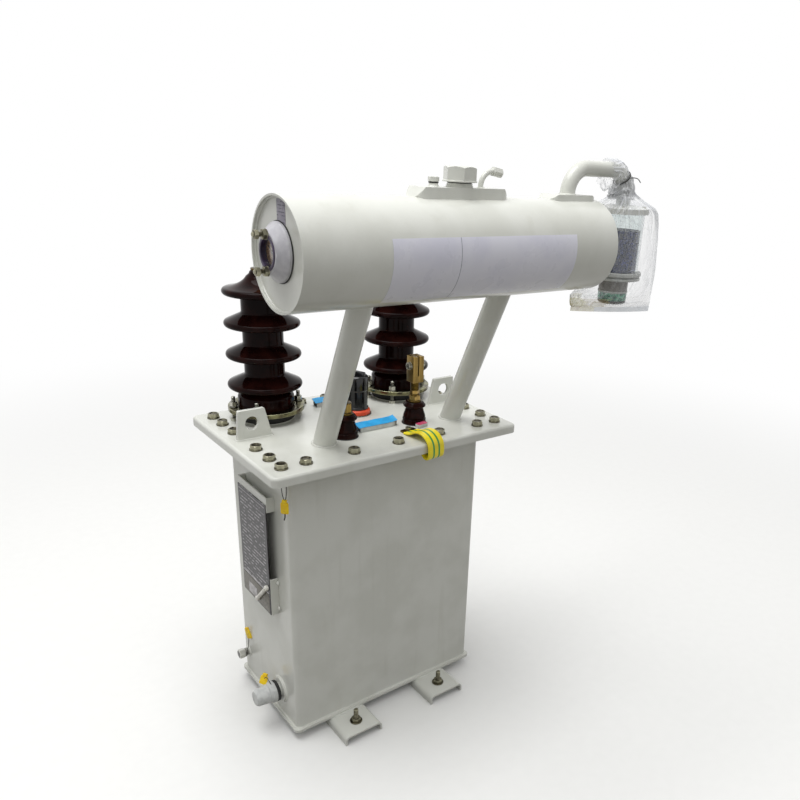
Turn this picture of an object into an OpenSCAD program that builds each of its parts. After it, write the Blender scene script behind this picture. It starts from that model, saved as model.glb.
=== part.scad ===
// Small pole mounted distribution transformer: a plain oil tank under a bolted
// cover, with bushings, a conservator held forward on two pipes, and a breather.
// Lengths are in millimetres. Z is up, and the conservator overhangs towards -Y.

/* [Feet] */
// Length of each cross channel, front to back
foot_len = 408; // [340:2:480]
// Width of each channel's web
foot_w = 86; // [60:2:110]
// Height of each channel
foot_h = 20; // [14:1:40]
// Sheet thickness of the channels
foot_t = 4; // [3:0.5:6]
// Distance between the channels' centre lines
foot_pitch = 214; // [150:2:300]
// Radius of the fixing holes
foot_hole_r = 7; // [5:0.5:9]
// Distance from a channel's end to its fixing hole
foot_hole_in = 34; // [24:1:50]

/* [Tank] */
// Outside width of the tank walls
tank_w = 440; // [360:5:560]
// Outside depth of the tank walls
tank_d = 258; // [220:2:320]
// Height of the tank, from its bottom plate to the top of its flange
tank_h = 595; // [450:5:760]
// Thickness of the tank walls
wall_t = 3; // [2:0.5:5]
// Thickness of the bottom plate
base_t = 6; // [4:0.5:10]
// How far the bottom plate stands out past the walls
base_lip = 6; // [2:0.5:12]
// Outer radius of the tank's upright corners
tank_corner_r = 10; // [4:1:20]
// Thickness of the flange round the tank's mouth
flange_t = 6; // [4:0.5:10]

/* [Cover] */
// Width of the cover plate
cover_w = 546; // [500:2:640]
// Depth of the cover plate
cover_d = 380; // [360:2:440]
// Thickness of the cover's sheet
cover_t = 5; // [4:0.5:7]
// Height of the cover's turned-down edge
cover_h = 18; // [16:1:26]
// Radius of the cover's upright corners
cover_corner_r = 13; // [12:1:18]
// Radius along the cover's top edges
cover_edge_r = 6; // [3:0.5:6]
// Thickness of the gasket under the cover
gasket_t = 2; // [1:0.5:4]
// Distance from the cover's side edges to the bolt rows
bolt_in_x = 32; // [22:1:36]
// Distance from the cover's front and back edges to the bolt rows
bolt_in_y = 37; // [24:1:40]
// Distance from a corner bolt to the next bolt of its row
bolt_corner_pitch = 47; // [40:1:56]
// Width of a bolt head across its flats
bolt_af = 19; // [16:1:22]

/* [High voltage bushings] */
// Mean distance of the bushings from the cover's side edges
hv_in = 117; // [112:1:124]
// Middle of the pair, to the right of the tank's centre
hv_x = 9; // [-10:1:12]
// Distance of the bushings from the cover's back edge
hv_back = 82; // [78:1:90]
// Diameter of the sheds
hv_shed_d = 145; // [110:1:150]
// Diameter of the porcelain between the sheds
hv_core_d = 78; // [60:1:96]
// Distance between sheds
hv_shed_pitch = 61; // [50:1:70]
// Diameter of the clamping flange
hv_flange_d = 150; // [130:1:152]
// Height of the clamping flange's top above the cover
hv_flange_h = 28; // [22:1:40]

/* [Low voltage bushings] */
// Distance between the two bushings
lv_pitch = 161; // [120:1:200]
// Middle of the pair, to the right of the tank's centre
lv_x = 12; // [0:1:24]
// Distance of the bushings in front of the tank's centre
lv_y = 71; // [60:1:80]
// Diameter of the porcelain's foot
lv_foot_d = 48; // [36:1:54]
// Height of the porcelain
lv_h = 46; // [40:1:60]

/* [Tap changer] */
// Diameter of the black head
tap_d = 48; // [40:1:60]
// Height of the black head
tap_h = 72; // [55:1:90]
// Distance of the head to the right of the tank's centre
tap_x = 21; // [0:1:30]
// Distance of the head behind the tank's centre
tap_y = 37; // [20:1:50]

/* [Lifting lugs] */
// Width of a lug at its foot
lug_w = 70; // [56:1:80]
// Height of a lug
lug_h = 58; // [48:1:70]
// Thickness of a lug
lug_t = 8; // [6:1:12]
// Radius of the lifting hole
lug_hole_r = 13; // [8:0.5:15]
// Distance from the cover's side edge to the lug
lug_in = 20; // [12:1:24]
// Distance of the lugs behind the tank's centre
lug_y = 8; // [-10:1:20]

/* [Conservator] */
// Outside diameter of the conservator
cons_d = 165; // [140:1:180]
// Length of the conservator over its end caps
cons_len = 630; // [560:5:680]
// Wall thickness of the conservator
cons_wall = 3; // [2:0.5:5]
// Height of the conservator's centre line above the cover
cons_rise = 371.5; // [340:0.5:420]
// Distance of the conservator's centre line in front of the tank's centre
cons_y = 258; // [230:1:280]
// Middle of the conservator, to the right of the tank's centre
cons_x = 33; // [10:1:45]
// Outside diameter of the two support pipes
pipe_d = 42; // [32:1:50]
// Wall thickness of the support pipes
pipe_wall = 3; // [2:0.5:5]
// Distance between the support pipes
pipe_pitch = 297; // [260:1:330]
// Middle of the pair of pipes, to the right of the tank's centre
pipe_x = 27; // [15:1:35]
// Distance of the pipes' feet in front of the tank's centre
pipe_y = 84; // [76:1:92]

/* [Conservator fittings] */
// Diameter of the oil gauge's flange
gauge_d = 84; // [70:1:96]
// Width of the filler cap across its flats
filler_af = 48; // [38:1:56]
// Diameter of the filler neck
filler_d = 42; // [34:1:48]
// Distance of the filler to the right of the tank's centre
filler_x = 38; // [25:1:50]
// Length of the pad under the filler
pad_len = 188; // [170:1:210]
// Height of the pad above the conservator
pad_h = 14; // [8:1:20]

/* [Breather] */
// Outside diameter of the breather pipe
bpipe_d = 28; // [20:1:34]
// Bend radius of the breather pipe
bpipe_bend = 45; // [36:1:60]
// Height of the breather pipe's top run above the conservator's centre line
bpipe_rise = 135; // [125:1:160]
// Distance from the conservator's right end to the pipe on its top
bpipe_in = 61; // [40:1:80]
// Distance from the conservator's right end to the breather's centre line
breather_out = 97; // [88:1:120]
// Diameter of the breather's glass cylinder
glass_d = 90; // [70:1:100]
// Height of the glass cylinder
glass_h = 110; // [90:1:130]
// Diameter of the breather's end flanges
breather_d = 104; // [96:1:112]

/* [Bag over the breather] */
// Width of the bag
bag_w = 254; // [230:1:280]
// Depth of the bag where it is fullest
bag_depth = 128; // [118:1:150]
// Thickness of the bag's wall
bag_t = 1; // [0.8:0.1:2]

/* [Hidden] */
$fn = 64;
TOUCH = 0.3;
OVER = 1;

cover_top = foot_h + tank_h + gasket_t + cover_t;
cons_z = cover_top + cons_rise;
cons_r = cons_d / 2;
cons_left = cons_x - cons_len / 2;
cons_right = cons_x + cons_len / 2;
breather_x = cons_right + breather_out;
bag_half = bag_w / 2;

// The origin lies under the middle of the whole part's footprint.
gauge_reach = 34;
x_low = cons_left - gauge_reach;
x_high = breather_x + bag_half;
y_low = -cons_y - cons_r;
y_high = foot_len / 2;
tank_x = -(x_low + x_high) / 2;
tank_y = -(y_low + y_high) / 2;

PAINT = [0.82, 0.83, 0.80];
PORCELAIN = [0.16, 0.07, 0.06];
BRASS = [0.66, 0.52, 0.26];
ZINC = [0.72, 0.68, 0.50];

module at_tank(z = 0) {
    translate([tank_x, tank_y, z])
        children();
}

module rounded_rect(w, d, r) {
    mid_x = w / 2 - r;
    mid_y = d / 2 - r;
    union() {
        square([w - 2 * r, d], center = true);
        square([w, d - 2 * r], center = true);
        for (sx = [-1, 1], sy = [-1, 1])
            translate([sx * mid_x, sy * mid_y])
                circle(r = r);
    }
}

// Feet
foot_bend = 10;

module foot_profile() {
    difference() {
        union() {
            translate([-foot_w / 2, 0])
                square([foot_w, foot_h - foot_bend]);
            translate([-foot_w / 2 + foot_bend, 0])
                square([foot_w - 2 * foot_bend, foot_h]);
            for (s = [-1, 1])
                translate([s * (foot_w / 2 - foot_bend), foot_h - foot_bend])
                    circle(r = foot_bend);
        }
        translate([-foot_w / 2 + foot_t, -1])
            square([foot_w - 2 * foot_t, foot_h - foot_bend + 1]);
        translate([-foot_w / 2 + foot_bend, -1])
            square([foot_w - 2 * foot_bend, foot_h - foot_t + 1]);
        for (s = [-1, 1])
            translate([s * (foot_w / 2 - foot_bend), foot_h - foot_bend])
                circle(r = foot_bend - foot_t);
    }
}

module foot(side) {
    at_tank()
        translate([side * foot_pitch / 2, 0, 0])
            difference() {
                rotate([90, 0, 0])
                    linear_extrude(foot_len, center = true)
                        foot_profile();
                for (s = [-1, 1])
                    translate([0, s * (foot_len / 2 - foot_hole_in), 0])
                        cylinder(h = foot_h + 1, r = foot_hole_r);
            }
}

module foot_left() {
    color(PAINT)
        foot(-1);
}

module foot_right() {
    color(PAINT)
        foot(1);
}

// Earthing studs in the feet's front holes
stud_r = 5;
stud_up = 30;
stud_down = 12;
stud_washer_r = 13;
stud_washer_t = 2;
stud_nut_r = 9.8;
stud_nut_h = 7;

module foot_studs() {
    color(ZINC)
        at_tank()
            for (side = [-1, 1])
                translate([side * foot_pitch / 2, -(foot_len / 2 - foot_hole_in), foot_h]) {
                    cylinder(h = stud_washer_t, r = stud_washer_r);
                    translate([0, 0, stud_washer_t])
                        cylinder(h = stud_nut_h, r = stud_nut_r, $fn = 6);
                    translate([0, 0, -stud_down])
                        cylinder(h = stud_down + stud_up, r = stud_r);
                }
}

// Tank
module bottom_plate() {
    color(PAINT)
        at_tank(foot_h)
            linear_extrude(base_t)
                rounded_rect(tank_w + 2 * base_lip, tank_d + 2 * base_lip, tank_corner_r);
}

module tank_walls() {
    color(PAINT)
        at_tank(foot_h + base_t)
            linear_extrude(tank_h - base_t - flange_t)
                difference() {
                    rounded_rect(tank_w, tank_d, tank_corner_r);
                    rounded_rect(tank_w - 2 * wall_t, tank_d - 2 * wall_t, tank_corner_r - wall_t);
                }
}

// The flange and its gasket lie inside the cover's turned-down edge.
rim_gap = 1;
flange_w = cover_w - 2 * (cover_t + rim_gap);
flange_d = cover_d - 2 * (cover_t + rim_gap);
flange_corner_r = cover_corner_r - cover_t;
gasket_in = 2;

module flange_ring(inset) {
    difference() {
        rounded_rect(flange_w - 2 * inset, flange_d - 2 * inset, flange_corner_r - inset);
        rounded_rect(tank_w - 2 * wall_t, tank_d - 2 * wall_t, tank_corner_r - wall_t);
    }
}

module tank_flange() {
    color(PAINT)
        at_tank(foot_h + tank_h - flange_t)
            linear_extrude(flange_t)
                flange_ring(0);
}

module cover_gasket() {
    color([0.12, 0.12, 0.12])
        at_tank(foot_h + tank_h)
            linear_extrude(gasket_t)
                flange_ring(gasket_in);
}

// Cover: a pressed tray with rounded top edges and corners
side_x = cover_w - 2 * cover_corner_r;
side_y = cover_d - 2 * cover_corner_r;
edge_z = cover_h - cover_edge_r;

module cover_corner() {
    rotate_extrude()
        union() {
            square([cover_corner_r, edge_z]);
            square([cover_corner_r - cover_edge_r, cover_h]);
            translate([cover_corner_r - cover_edge_r, edge_z])
                circle(r = cover_edge_r);
        }
}

module cover_block() {
    union() {
        for (sx = [-1, 1], sy = [-1, 1])
            translate([sx * side_x / 2, sy * side_y / 2, 0])
                cover_corner();
        translate([-side_x / 2, -cover_d / 2 + cover_edge_r, 0])
            cube([side_x, cover_d - 2 * cover_edge_r, cover_h]);
        translate([-side_x / 2, -cover_d / 2, 0])
            cube([side_x, cover_d, edge_z]);
        translate([-cover_w / 2 + cover_edge_r, -side_y / 2, 0])
            cube([cover_w - 2 * cover_edge_r, side_y, cover_h]);
        translate([-cover_w / 2, -side_y / 2, 0])
            cube([cover_w, side_y, edge_z]);
        for (s = [-1, 1]) {
            translate([-side_x / 2, s * (cover_d / 2 - cover_edge_r), edge_z])
                rotate([0, 90, 0])
                    cylinder(h = side_x, r = cover_edge_r);
            translate([s * (cover_w / 2 - cover_edge_r), side_y / 2, edge_z])
                rotate([90, 0, 0])
                    cylinder(h = side_y, r = cover_edge_r);
        }
    }
}

module cover_plate() {
    color(PAINT)
        at_tank(cover_top - cover_h)
            difference() {
                cover_block();
                translate([0, 0, -OVER])
                    linear_extrude(cover_h - cover_t + OVER)
                        rounded_rect(cover_w - 2 * cover_t, cover_d - 2 * cover_t, cover_corner_r - cover_t);
            }
}

row_x = cover_w / 2 - bolt_in_x;
row_y = cover_d / 2 - bolt_in_y;
next_x = row_x - bolt_corner_pitch;
next_y = row_y - bolt_corner_pitch;
lug_bolt_y = 50;
back_pitch = 58;
rear_shift = 14;
bolt_washer_r = 12;
bolt_washer_t = 2.5;
bolt_head_h = 7.5;
front_bolts = [for (x = [-row_x, -next_x, -next_x / 2, 0, next_x / 2, next_x, row_x]) [x, -row_y]];
left_bolts = [for (y = [-next_y, -lug_bolt_y, lug_bolt_y, next_y]) [-row_x, y]];
right_bolts = [for (y = [-next_y, -lug_bolt_y, lug_bolt_y, next_y + rear_shift]) [row_x, y]];
back_bolts = [for (x = [-row_x, hv_x - back_pitch, hv_x, hv_x + back_pitch, row_x]) [x, row_y]];

module cover_bolts() {
    color(ZINC)
        at_tank(cover_top)
            for (p = concat(front_bolts, left_bolts, right_bolts, back_bolts))
                translate([p[0], p[1], 0]) {
                    cylinder(h = bolt_washer_t, r = bolt_washer_r);
                    translate([0, 0, bolt_washer_t])
                        cylinder(h = bolt_head_h, r = bolt_af / 2 / cos(30), $fn = 6);
                }
}

// High voltage bushings
hv_y = cover_d / 2 - hv_back;
hv_clamp_t = 9;
hv_turret_h = hv_flange_h - hv_clamp_t;
hv_neck_d = hv_flange_d - 40;
hv_neck_top = 50;
hv_neck_cone = 10;
hv_first_shed = 72;
hv_shed_n = 4;
hv_cap_h = 39;
hv_cap_d = 40;
hv_cap_r = 6;
hv_top = hv_first_shed + (hv_shed_n - 1) * hv_shed_pitch + hv_cap_h;

module at_hv(side, z = 0) {
    at_tank(cover_top + z)
        translate([hv_x + side * (cover_w / 2 - hv_in), hv_y, 0])
            children();
}

module hv_turret(side) {
    color(PAINT)
        at_hv(side)
            cylinder(h = hv_turret_h, d = hv_neck_d);
}

// Clamp ring on four studs that stand on the cover
clamp_gap = 1;
clamp_angles = [-10, 50, 170, 230];
clamp_stud_r = 4;
clamp_stud_up = 22;
clamp_nut_r = 7.5;
clamp_nut_h = 9;
clamp_washer_r = 8.5;
clamp_washer_t = 2;
clamp_circle_r = (hv_neck_d + hv_flange_d) / 4;

module hv_clamp(side) {
    color([0.70, 0.70, 0.68])
        at_hv(side)
            union() {
                translate([0, 0, hv_turret_h])
                    difference() {
                        cylinder(h = hv_clamp_t, d = hv_flange_d);
                        translate([0, 0, -OVER])
                            cylinder(h = hv_clamp_t + 2 * OVER, d = hv_neck_d + 2 * clamp_gap);
                    }
                for (a = clamp_angles)
                    rotate([0, 0, a])
                        translate([clamp_circle_r, 0, 0]) {
                            cylinder(h = hv_flange_h + clamp_stud_up, r = clamp_stud_r);
                            translate([0, 0, hv_flange_h])
                                cylinder(h = clamp_washer_t, r = clamp_washer_r);
                            translate([0, 0, hv_flange_h + clamp_washer_t])
                                cylinder(h = clamp_nut_h, r = clamp_nut_r, $fn = 6);
                        }
            }
}

// Porcelain, revolved from one outline. Each shed has a round lip, a sloping top that
// runs into the core in a hollow curve, and an underside that rises towards the core.
// The top shed runs up in a flare into a small round cap.
lip_r = 6.5;
shed_rise = 20;
shed_under = 1.5;
top_fillet = 7;
low_fillet = 4;
flare_in = 13;
flare_rise = 28;
arc_n = 12;
core_r = hv_core_d / 2;
shed_r = hv_shed_d / 2;
shed_flat = shed_r - lip_r - core_r;
top_slope = atan2(shed_rise - lip_r, shed_flat);
low_slope = atan2(lip_r - shed_under, shed_flat);

function arc(mid, r, from, to) = [
    for (i = [0 : arc_n])
        let (a = from + (to - from) * i / arc_n)
            [mid[0] + r * cos(a), mid[1] + r * sin(a)]
];

function curve(p, q, r) = [
    for (i = [1 : arc_n])
        let (t = i / arc_n)
            p * pow(1 - t, 2) + q * 2 * t * (1 - t) + r * pow(t, 2)
];

function shed_low(z) =
    let (mid_z = z - shed_under - low_fillet * tan(low_slope) - low_fillet / cos(low_slope))
        arc([core_r + low_fillet, mid_z], low_fillet, 180, 90 + low_slope);

function shed_lip(z) = arc([shed_r - lip_r, z], lip_r, 270 - low_slope, 450 - top_slope);

function shed_high(z) =
    let (mid_z = z + shed_rise - top_fillet * tan(top_slope) + top_fillet / cos(top_slope))
        arc([core_r + top_fillet, mid_z], top_fillet, 270 - top_slope, 180);

function shed(z) = concat(shed_low(z), shed_lip(z), shed_high(z));

function shed_with_cap(z) =
    let (lip = shed_lip(z),
         cap_r = hv_cap_d / 2)
        concat(shed_low(z), lip,
               curve(lip[arc_n], [core_r - 3, z + shed_rise - 9], [core_r - flare_in, z + flare_rise]),
               arc([cap_r - hv_cap_r, z + hv_cap_h - hv_cap_r], hv_cap_r, 0, 90));

function hv_outline() =
    let (neck_h = hv_neck_top - hv_turret_h,
         first = hv_first_shed - hv_turret_h)
        concat([[0, 0], [hv_neck_d / 2, 0], [hv_neck_d / 2, neck_h], [core_r, neck_h + hv_neck_cone]],
               [for (i = [0 : hv_shed_n - 2]) for (p = shed(first + i * hv_shed_pitch)) p],
               shed_with_cap(first + (hv_shed_n - 1) * hv_shed_pitch),
               [[0, hv_top - hv_turret_h]]);

module hv_porcelain(side) {
    color(PORCELAIN)
        at_hv(side, hv_turret_h)
            rotate_extrude()
                polygon(hv_outline());
}

term_washer_d = 34;
term_washer_t = 4;
term_nut_r = 12;
term_nut_h = 12;
term_stud_d = 12;
term_stud_h = 34;

module hv_terminal(side) {
    color(BRASS)
        at_hv(side, hv_top) {
            cylinder(h = term_washer_t, d = term_washer_d);
            translate([0, 0, term_washer_t])
                cylinder(h = term_nut_h, r = term_nut_r, $fn = 6);
            translate([0, 0, term_washer_t + term_nut_h])
                cylinder(h = term_stud_h, d = term_stud_d);
        }
}

module hv_turret_left() { hv_turret(-1); }
module hv_turret_right() { hv_turret(1); }
module hv_clamp_left() { hv_clamp(-1); }
module hv_clamp_right() { hv_clamp(1); }
module hv_porcelain_left() { hv_porcelain(-1); }
module hv_porcelain_right() { hv_porcelain(1); }
module hv_terminal_left() { hv_terminal(-1); }
module hv_terminal_right() { hv_terminal(1); }

// Low voltage bushings
lv_r = lv_foot_d / 2;
lv_ring_h = 11;
lv_waist_in = 6;
lv_shed_in = 1;

module at_lv(side, z = 0) {
    at_tank(cover_top + z)
        translate([lv_x + side * lv_pitch / 2, -lv_y, 0])
            children();
}

module lv_porcelain(side) {
    waist_r = lv_r - lv_waist_in;
    lip_out = lv_r - lv_shed_in;
    color(PORCELAIN)
        at_lv(side)
            rotate_extrude()
                polygon([[0, 0], [lv_r, 0], [lv_r, lv_ring_h - 1.5], [lv_r - 1, lv_ring_h],
                         [lv_r - 1.8, lv_ring_h], [lv_r - 1.8, lv_ring_h + 1], [lv_r - 0.9, lv_ring_h + 2],
                         [lv_r - 2.2, lv_h - 26], [waist_r + 1.4, lv_h - 19], [waist_r, lv_h - 13],
                         [waist_r, lv_h - 11.5], [lip_out - 1, lv_h - 10], [lip_out, lv_h - 8.7],
                         [lip_out, lv_h - 7], [lip_out - 1.2, lv_h - 5.6], [lv_r - 6.5, lv_h], [0, lv_h]]);
}

lv_washer_t = 3;
lv_nut_h = 10;
lv_nut_r = 12;
lv_top_nut_h = 8;
lv_top_nut_r = 9.5;
lv_stud_d = 12;
lv_stud_h = 17;

module lv_terminal_left() {
    color(BRASS)
        at_lv(-1, lv_h) {
            cylinder(h = lv_washer_t, r = lv_nut_r + 3);
            translate([0, 0, lv_washer_t])
                cylinder(h = lv_nut_h, r = lv_nut_r - 2, $fn = 6);
            translate([0, 0, lv_washer_t + lv_nut_h])
                cylinder(h = lv_nut_h, r = lv_top_nut_r, $fn = 6);
            translate([0, 0, lv_washer_t + 2 * lv_nut_h])
                cylinder(h = lv_stud_h, d = lv_stud_d);
        }
}

// The right one carries a square clamp with a bolt across it
clamp_neck_d = 18;
clamp_neck_h = 17;
clamp_side = 25;
clamp_high = 54;
clamp_bolt_r = 4.5;
clamp_bolt_len = 44;
clamp_bolt_z = 34;
clamp_head_r = 8;
clamp_head_h = 6;

module clamp_bolt() {
    rotate([0, 90, 0]) {
        cylinder(h = clamp_bolt_len, r = clamp_bolt_r, center = true);
        translate([0, 0, -clamp_side / 2 - clamp_head_h])
            cylinder(h = clamp_head_h, r = clamp_head_r, $fn = 6);
        translate([0, 0, clamp_side / 2])
            cylinder(h = clamp_head_h, r = clamp_head_r, $fn = 6);
    }
}

module lv_terminal_right() {
    top_nut_z = lv_washer_t + lv_nut_h + lv_washer_t;
    neck_z = top_nut_z + lv_top_nut_h;
    color(BRASS)
        at_lv(1, lv_h)
            union() {
                cylinder(h = lv_washer_t, r = lv_nut_r + 2);
                translate([0, 0, lv_washer_t])
                    cylinder(h = lv_nut_h, r = lv_nut_r, $fn = 6);
                translate([0, 0, lv_washer_t + lv_nut_h])
                    cylinder(h = lv_washer_t, r = lv_nut_r - 1);
                translate([0, 0, top_nut_z])
                    cylinder(h = lv_top_nut_h, r = lv_top_nut_r, $fn = 6);
                translate([0, 0, neck_z])
                    cylinder(h = clamp_neck_h, d = clamp_neck_d);
                translate([-clamp_side / 2, -clamp_side / 2, neck_z + clamp_neck_h])
                    cube([clamp_side, clamp_side, clamp_high]);
                translate([0, 0, neck_z + clamp_neck_h + clamp_bolt_z])
                    clamp_bolt();
            }
}

module lv_porcelain_left() { lv_porcelain(-1); }
module lv_porcelain_right() { lv_porcelain(1); }

// Tap changer
tap_base_h = 12;
tap_base_lip = 4;
tap_bar_w = 10;
tap_bar_h = 8;
tap_edge = 3;

module at_tap(z = 0) {
    at_tank(cover_top + z)
        translate([tap_x, tap_y, 0])
            children();
}

module tap_changer_base() {
    color([0.85, 0.25, 0.12])
        at_tap()
            cylinder(h = tap_base_h, d = tap_d + 2 * tap_base_lip);
}

module tap_changer_head() {
    color([0.06, 0.06, 0.06])
        at_tap(tap_base_h)
            union() {
                cylinder(h = tap_h - tap_edge, d = tap_d);
                translate([0, 0, tap_h - tap_edge])
                    cylinder(h = tap_edge, d1 = tap_d, d2 = tap_d - 2 * tap_edge);
                translate([-tap_bar_w / 2, -tap_d / 2 + tap_edge, tap_h - OVER])
                    cube([tap_bar_w, tap_d - 2 * tap_edge, tap_bar_h + OVER]);
            }
}

// Lifting lugs
lug_top_out = 4;
lug_top_in = 14;

module lifting_lug(side) {
    lug_outer = cover_w / 2 - lug_in;
    color(PAINT)
        at_tank(cover_top)
            scale([side, 1, 1])
                translate([lug_outer - lug_w, lug_y + lug_t / 2, 0])
                    rotate([90, 0, 0])
                        linear_extrude(lug_t)
                            difference() {
                                polygon([[0, 0], [lug_w, 0], [lug_w - lug_top_out, lug_h], [lug_top_in, lug_h]]);
                                translate([(lug_w + lug_top_in - lug_top_out) / 2, lug_h / 2 + 2])
                                    circle(r = lug_hole_r);
                            }
}

module lifting_lug_left() { lifting_lug(-1); }
module lifting_lug_right() { lifting_lug(1); }

// Conservator
pipe_lean = atan2(cons_y - pipe_y, cons_rise);
pipe_run = norm([cons_y - pipe_y, cons_rise]);

module at_cons(x = 0) {
    at_tank(cons_z)
        translate([x, -cons_y, 0])
            children();
}

module support_pipe(side) {
    color(PAINT)
        at_tank()
            difference() {
                translate([pipe_x + side * pipe_pitch / 2, -pipe_y, cover_top])
                    rotate([pipe_lean, 0, 0])
                        translate([0, 0, -pipe_d])
                            difference() {
                                cylinder(h = pipe_run + pipe_d, d = pipe_d);
                                translate([0, 0, -1])
                                    cylinder(h = pipe_run + pipe_d + 2, d = pipe_d - 2 * pipe_wall);
                            }
                translate([pipe_x + side * pipe_pitch / 2 - 50, -pipe_y - 100, cover_top - 100])
                    cube([100, 200, 100]);
                translate([pipe_x + side * pipe_pitch / 2 - 50, -cons_y, cons_z])
                    rotate([0, 90, 0])
                        cylinder(h = 100, d = cons_d, $fn = 128);
            }
}

module support_pipe_left() { support_pipe(-1); }
module support_pipe_right() { support_pipe(1); }

cap_in = 6;
cap_t = 4;

module conservator_shell() {
    color(PAINT)
        at_cons(cons_left)
            rotate([0, 90, 0])
                difference() {
                    cylinder(h = cons_len, r = cons_r, $fn = 128);
                    translate([0, 0, -OVER])
                        cylinder(h = cons_len + 2 * OVER, r = cons_r - cons_wall, $fn = 128);
                }
}

// The end caps are discs welded in a little inside the shell's rims.
module conservator_cap(x) {
    color(PAINT)
        at_cons(x)
            rotate([0, 90, 0])
                cylinder(h = cap_t, r = cons_r - cons_wall, $fn = 128);
}

module conservator_cap_left() { conservator_cap(cons_left + cap_in); }
module conservator_cap_right() { conservator_cap(cons_right - cap_in - cap_t); }

// Oil gauge on the left cap
gauge_z = 4;
gauge_flange_t = 6;
gauge_barrel_d = 54;
gauge_barrel_h = 19;
gauge_bore_d = 40;
gauge_bore_h = 10;
gauge_glass_t = 2.5;
gauge_glass_z = gauge_barrel_h - gauge_bore_h + 1.5;
gauge_stud_r = 3.5;
gauge_stud_at = 25;
gauge_nut_r = 6.5;
gauge_nut_h = 5;

module at_gauge(out = 0) {
    at_cons(cons_left + cap_in - out)
        translate([0, 0, gauge_z])
            rotate([0, -90, 0])
                children();
}

module oil_gauge() {
    tip = cap_in + gauge_reach;
    color([0.55, 0.55, 0.52])
        at_gauge()
            difference() {
                union() {
                    cylinder(h = gauge_flange_t, d = gauge_d);
                    cylinder(h = gauge_barrel_h, d = gauge_barrel_d);
                    for (s = [-1, 1])
                        translate([s * gauge_stud_at, 0, 0]) {
                            cylinder(h = tip, r = gauge_stud_r);
                            translate([0, 0, gauge_barrel_h])
                                cylinder(h = gauge_nut_h, r = gauge_nut_r, $fn = 6);
                        }
                }
                translate([0, 0, gauge_barrel_h - gauge_bore_h])
                    cylinder(h = gauge_bore_h + gauge_nut_h + OVER, d = gauge_bore_d);
            }
}

module gauge_glass() {
    color([0.85, 0.9, 0.92, 0.4])
        at_gauge(gauge_glass_z)
            cylinder(h = gauge_glass_t, d = gauge_bore_d);
}

// Low saddles on top of the conservator: flat above, rounded and sloping at their ends
pad_w = 46;
pad_end_r = 18;
pad_slope = 14;
pad_top = cons_r + pad_h;

module saddle(len, high) {
    top = cons_r + high;
    difference() {
        intersection() {
            linear_extrude(top)
                rounded_rect(len, pad_w, pad_end_r);
            rotate([90, 0, 0])
                linear_extrude(pad_w + 2 * OVER, center = true)
                    polygon([[-len / 2, 0], [len / 2, 0], [len / 2, cons_r - 2], [len / 2 - pad_slope, top],
                             [-len / 2 + pad_slope, top], [-len / 2, cons_r - 2]]);
        }
        translate([-len / 2 - OVER, 0, 0])
            rotate([0, 90, 0])
                cylinder(h = len + 2 * OVER, r = cons_r, $fn = 128);
    }
}

module filler_pad() {
    color(PAINT)
        at_cons(filler_x - 2)
            saddle(pad_len, pad_h);
}

// Filler neck: a weld collar, the neck, and a narrower step that shows under the cap
collar_h = 3;
neck_step = 2;
filler_neck_h = 8;
filler_cap_h = 24;
cap_skirt_h = 2.5;

module filler_neck() {
    color(PAINT)
        at_cons(filler_x)
            translate([0, 0, pad_top])
                union() {
                    cylinder(h = collar_h, d = filler_d + neck_step);
                    cylinder(h = filler_neck_h - neck_step, d = filler_d);
                    cylinder(h = filler_neck_h, d = filler_d - 2 * neck_step);
                }
}

module filler_cap() {
    color(PAINT)
        at_cons(filler_x)
            translate([0, 0, pad_top + filler_neck_h])
                union() {
                    cylinder(h = filler_cap_h, r = filler_af / 2 / cos(30), $fn = 6);
                    cylinder(h = cap_skirt_h, r = filler_af / 2 / cos(30) + 1);
                }
}

vent_off = 52;
plug_stub_d = 15;
plug_stub_h = 5.5;
plug_gap_h = 2;
plug_head_h = 7.5;
plug_head_r = 9;

module vent_plug() {
    color(PAINT)
        at_cons(filler_x - vent_off)
            translate([0, 0, pad_top])
                union() {
                    cylinder(h = 3, d1 = plug_stub_d + 5, d2 = plug_stub_d);
                    cylinder(h = plug_stub_h, d = plug_stub_d);
                    cylinder(h = plug_stub_h + plug_gap_h, d = plug_stub_d - 3);
                    translate([0, 0, plug_stub_h + plug_gap_h])
                        cylinder(h = plug_head_h, r = plug_head_r, $fn = 6);
                }
}

// Vent tube: it bends over to the right and ends in a nut that looks down
tube_off = 44;
tube_d = 9;
tube_up = 2;
tube_bend = 24;
tube_turn = 100;
tube_nut_r = 8;
tube_nut_h = 14;
tube_nut_back = 4;
tube_bore_r = 4;
tube_bore_h = 6;

module vent_tube() {
    color(PAINT)
        at_cons(filler_x + tube_off)
            translate([0, 0, pad_top])
                union() {
                    cylinder(h = tube_up, d = tube_d);
                    translate([tube_bend, 0, tube_up]) {
                        rotate([0, 0, 180])
                            rotate([90, 0, 0])
                                rotate_extrude(angle = tube_turn)
                                    translate([tube_bend, 0])
                                        circle(d = tube_d);
                        rotate([0, tube_turn, 0])
                            translate([-tube_bend, 0, -tube_nut_back])
                                difference() {
                                    cylinder(h = tube_nut_h + tube_nut_back, r = tube_nut_r, $fn = 6);
                                    translate([0, 0, tube_nut_h + tube_nut_back - tube_bore_h])
                                        cylinder(h = tube_bore_h + OVER, r = tube_bore_r);
                                }
                    }
                }
}

// Breather
module bpipe_bend_part(angle) {
    rotate_extrude(angle = angle)
        translate([bpipe_bend, 0])
            circle(d = bpipe_d);
}

bpipe_x = cons_right - bpipe_in;
breather_drop = 62;
breather_top_z = bpipe_rise - breather_drop;
bpad_len = 116;
bpad_h = 7;

module breather_pad() {
    color(PAINT)
        at_cons(bpipe_x)
            saddle(bpad_len, bpad_h);
}

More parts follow.
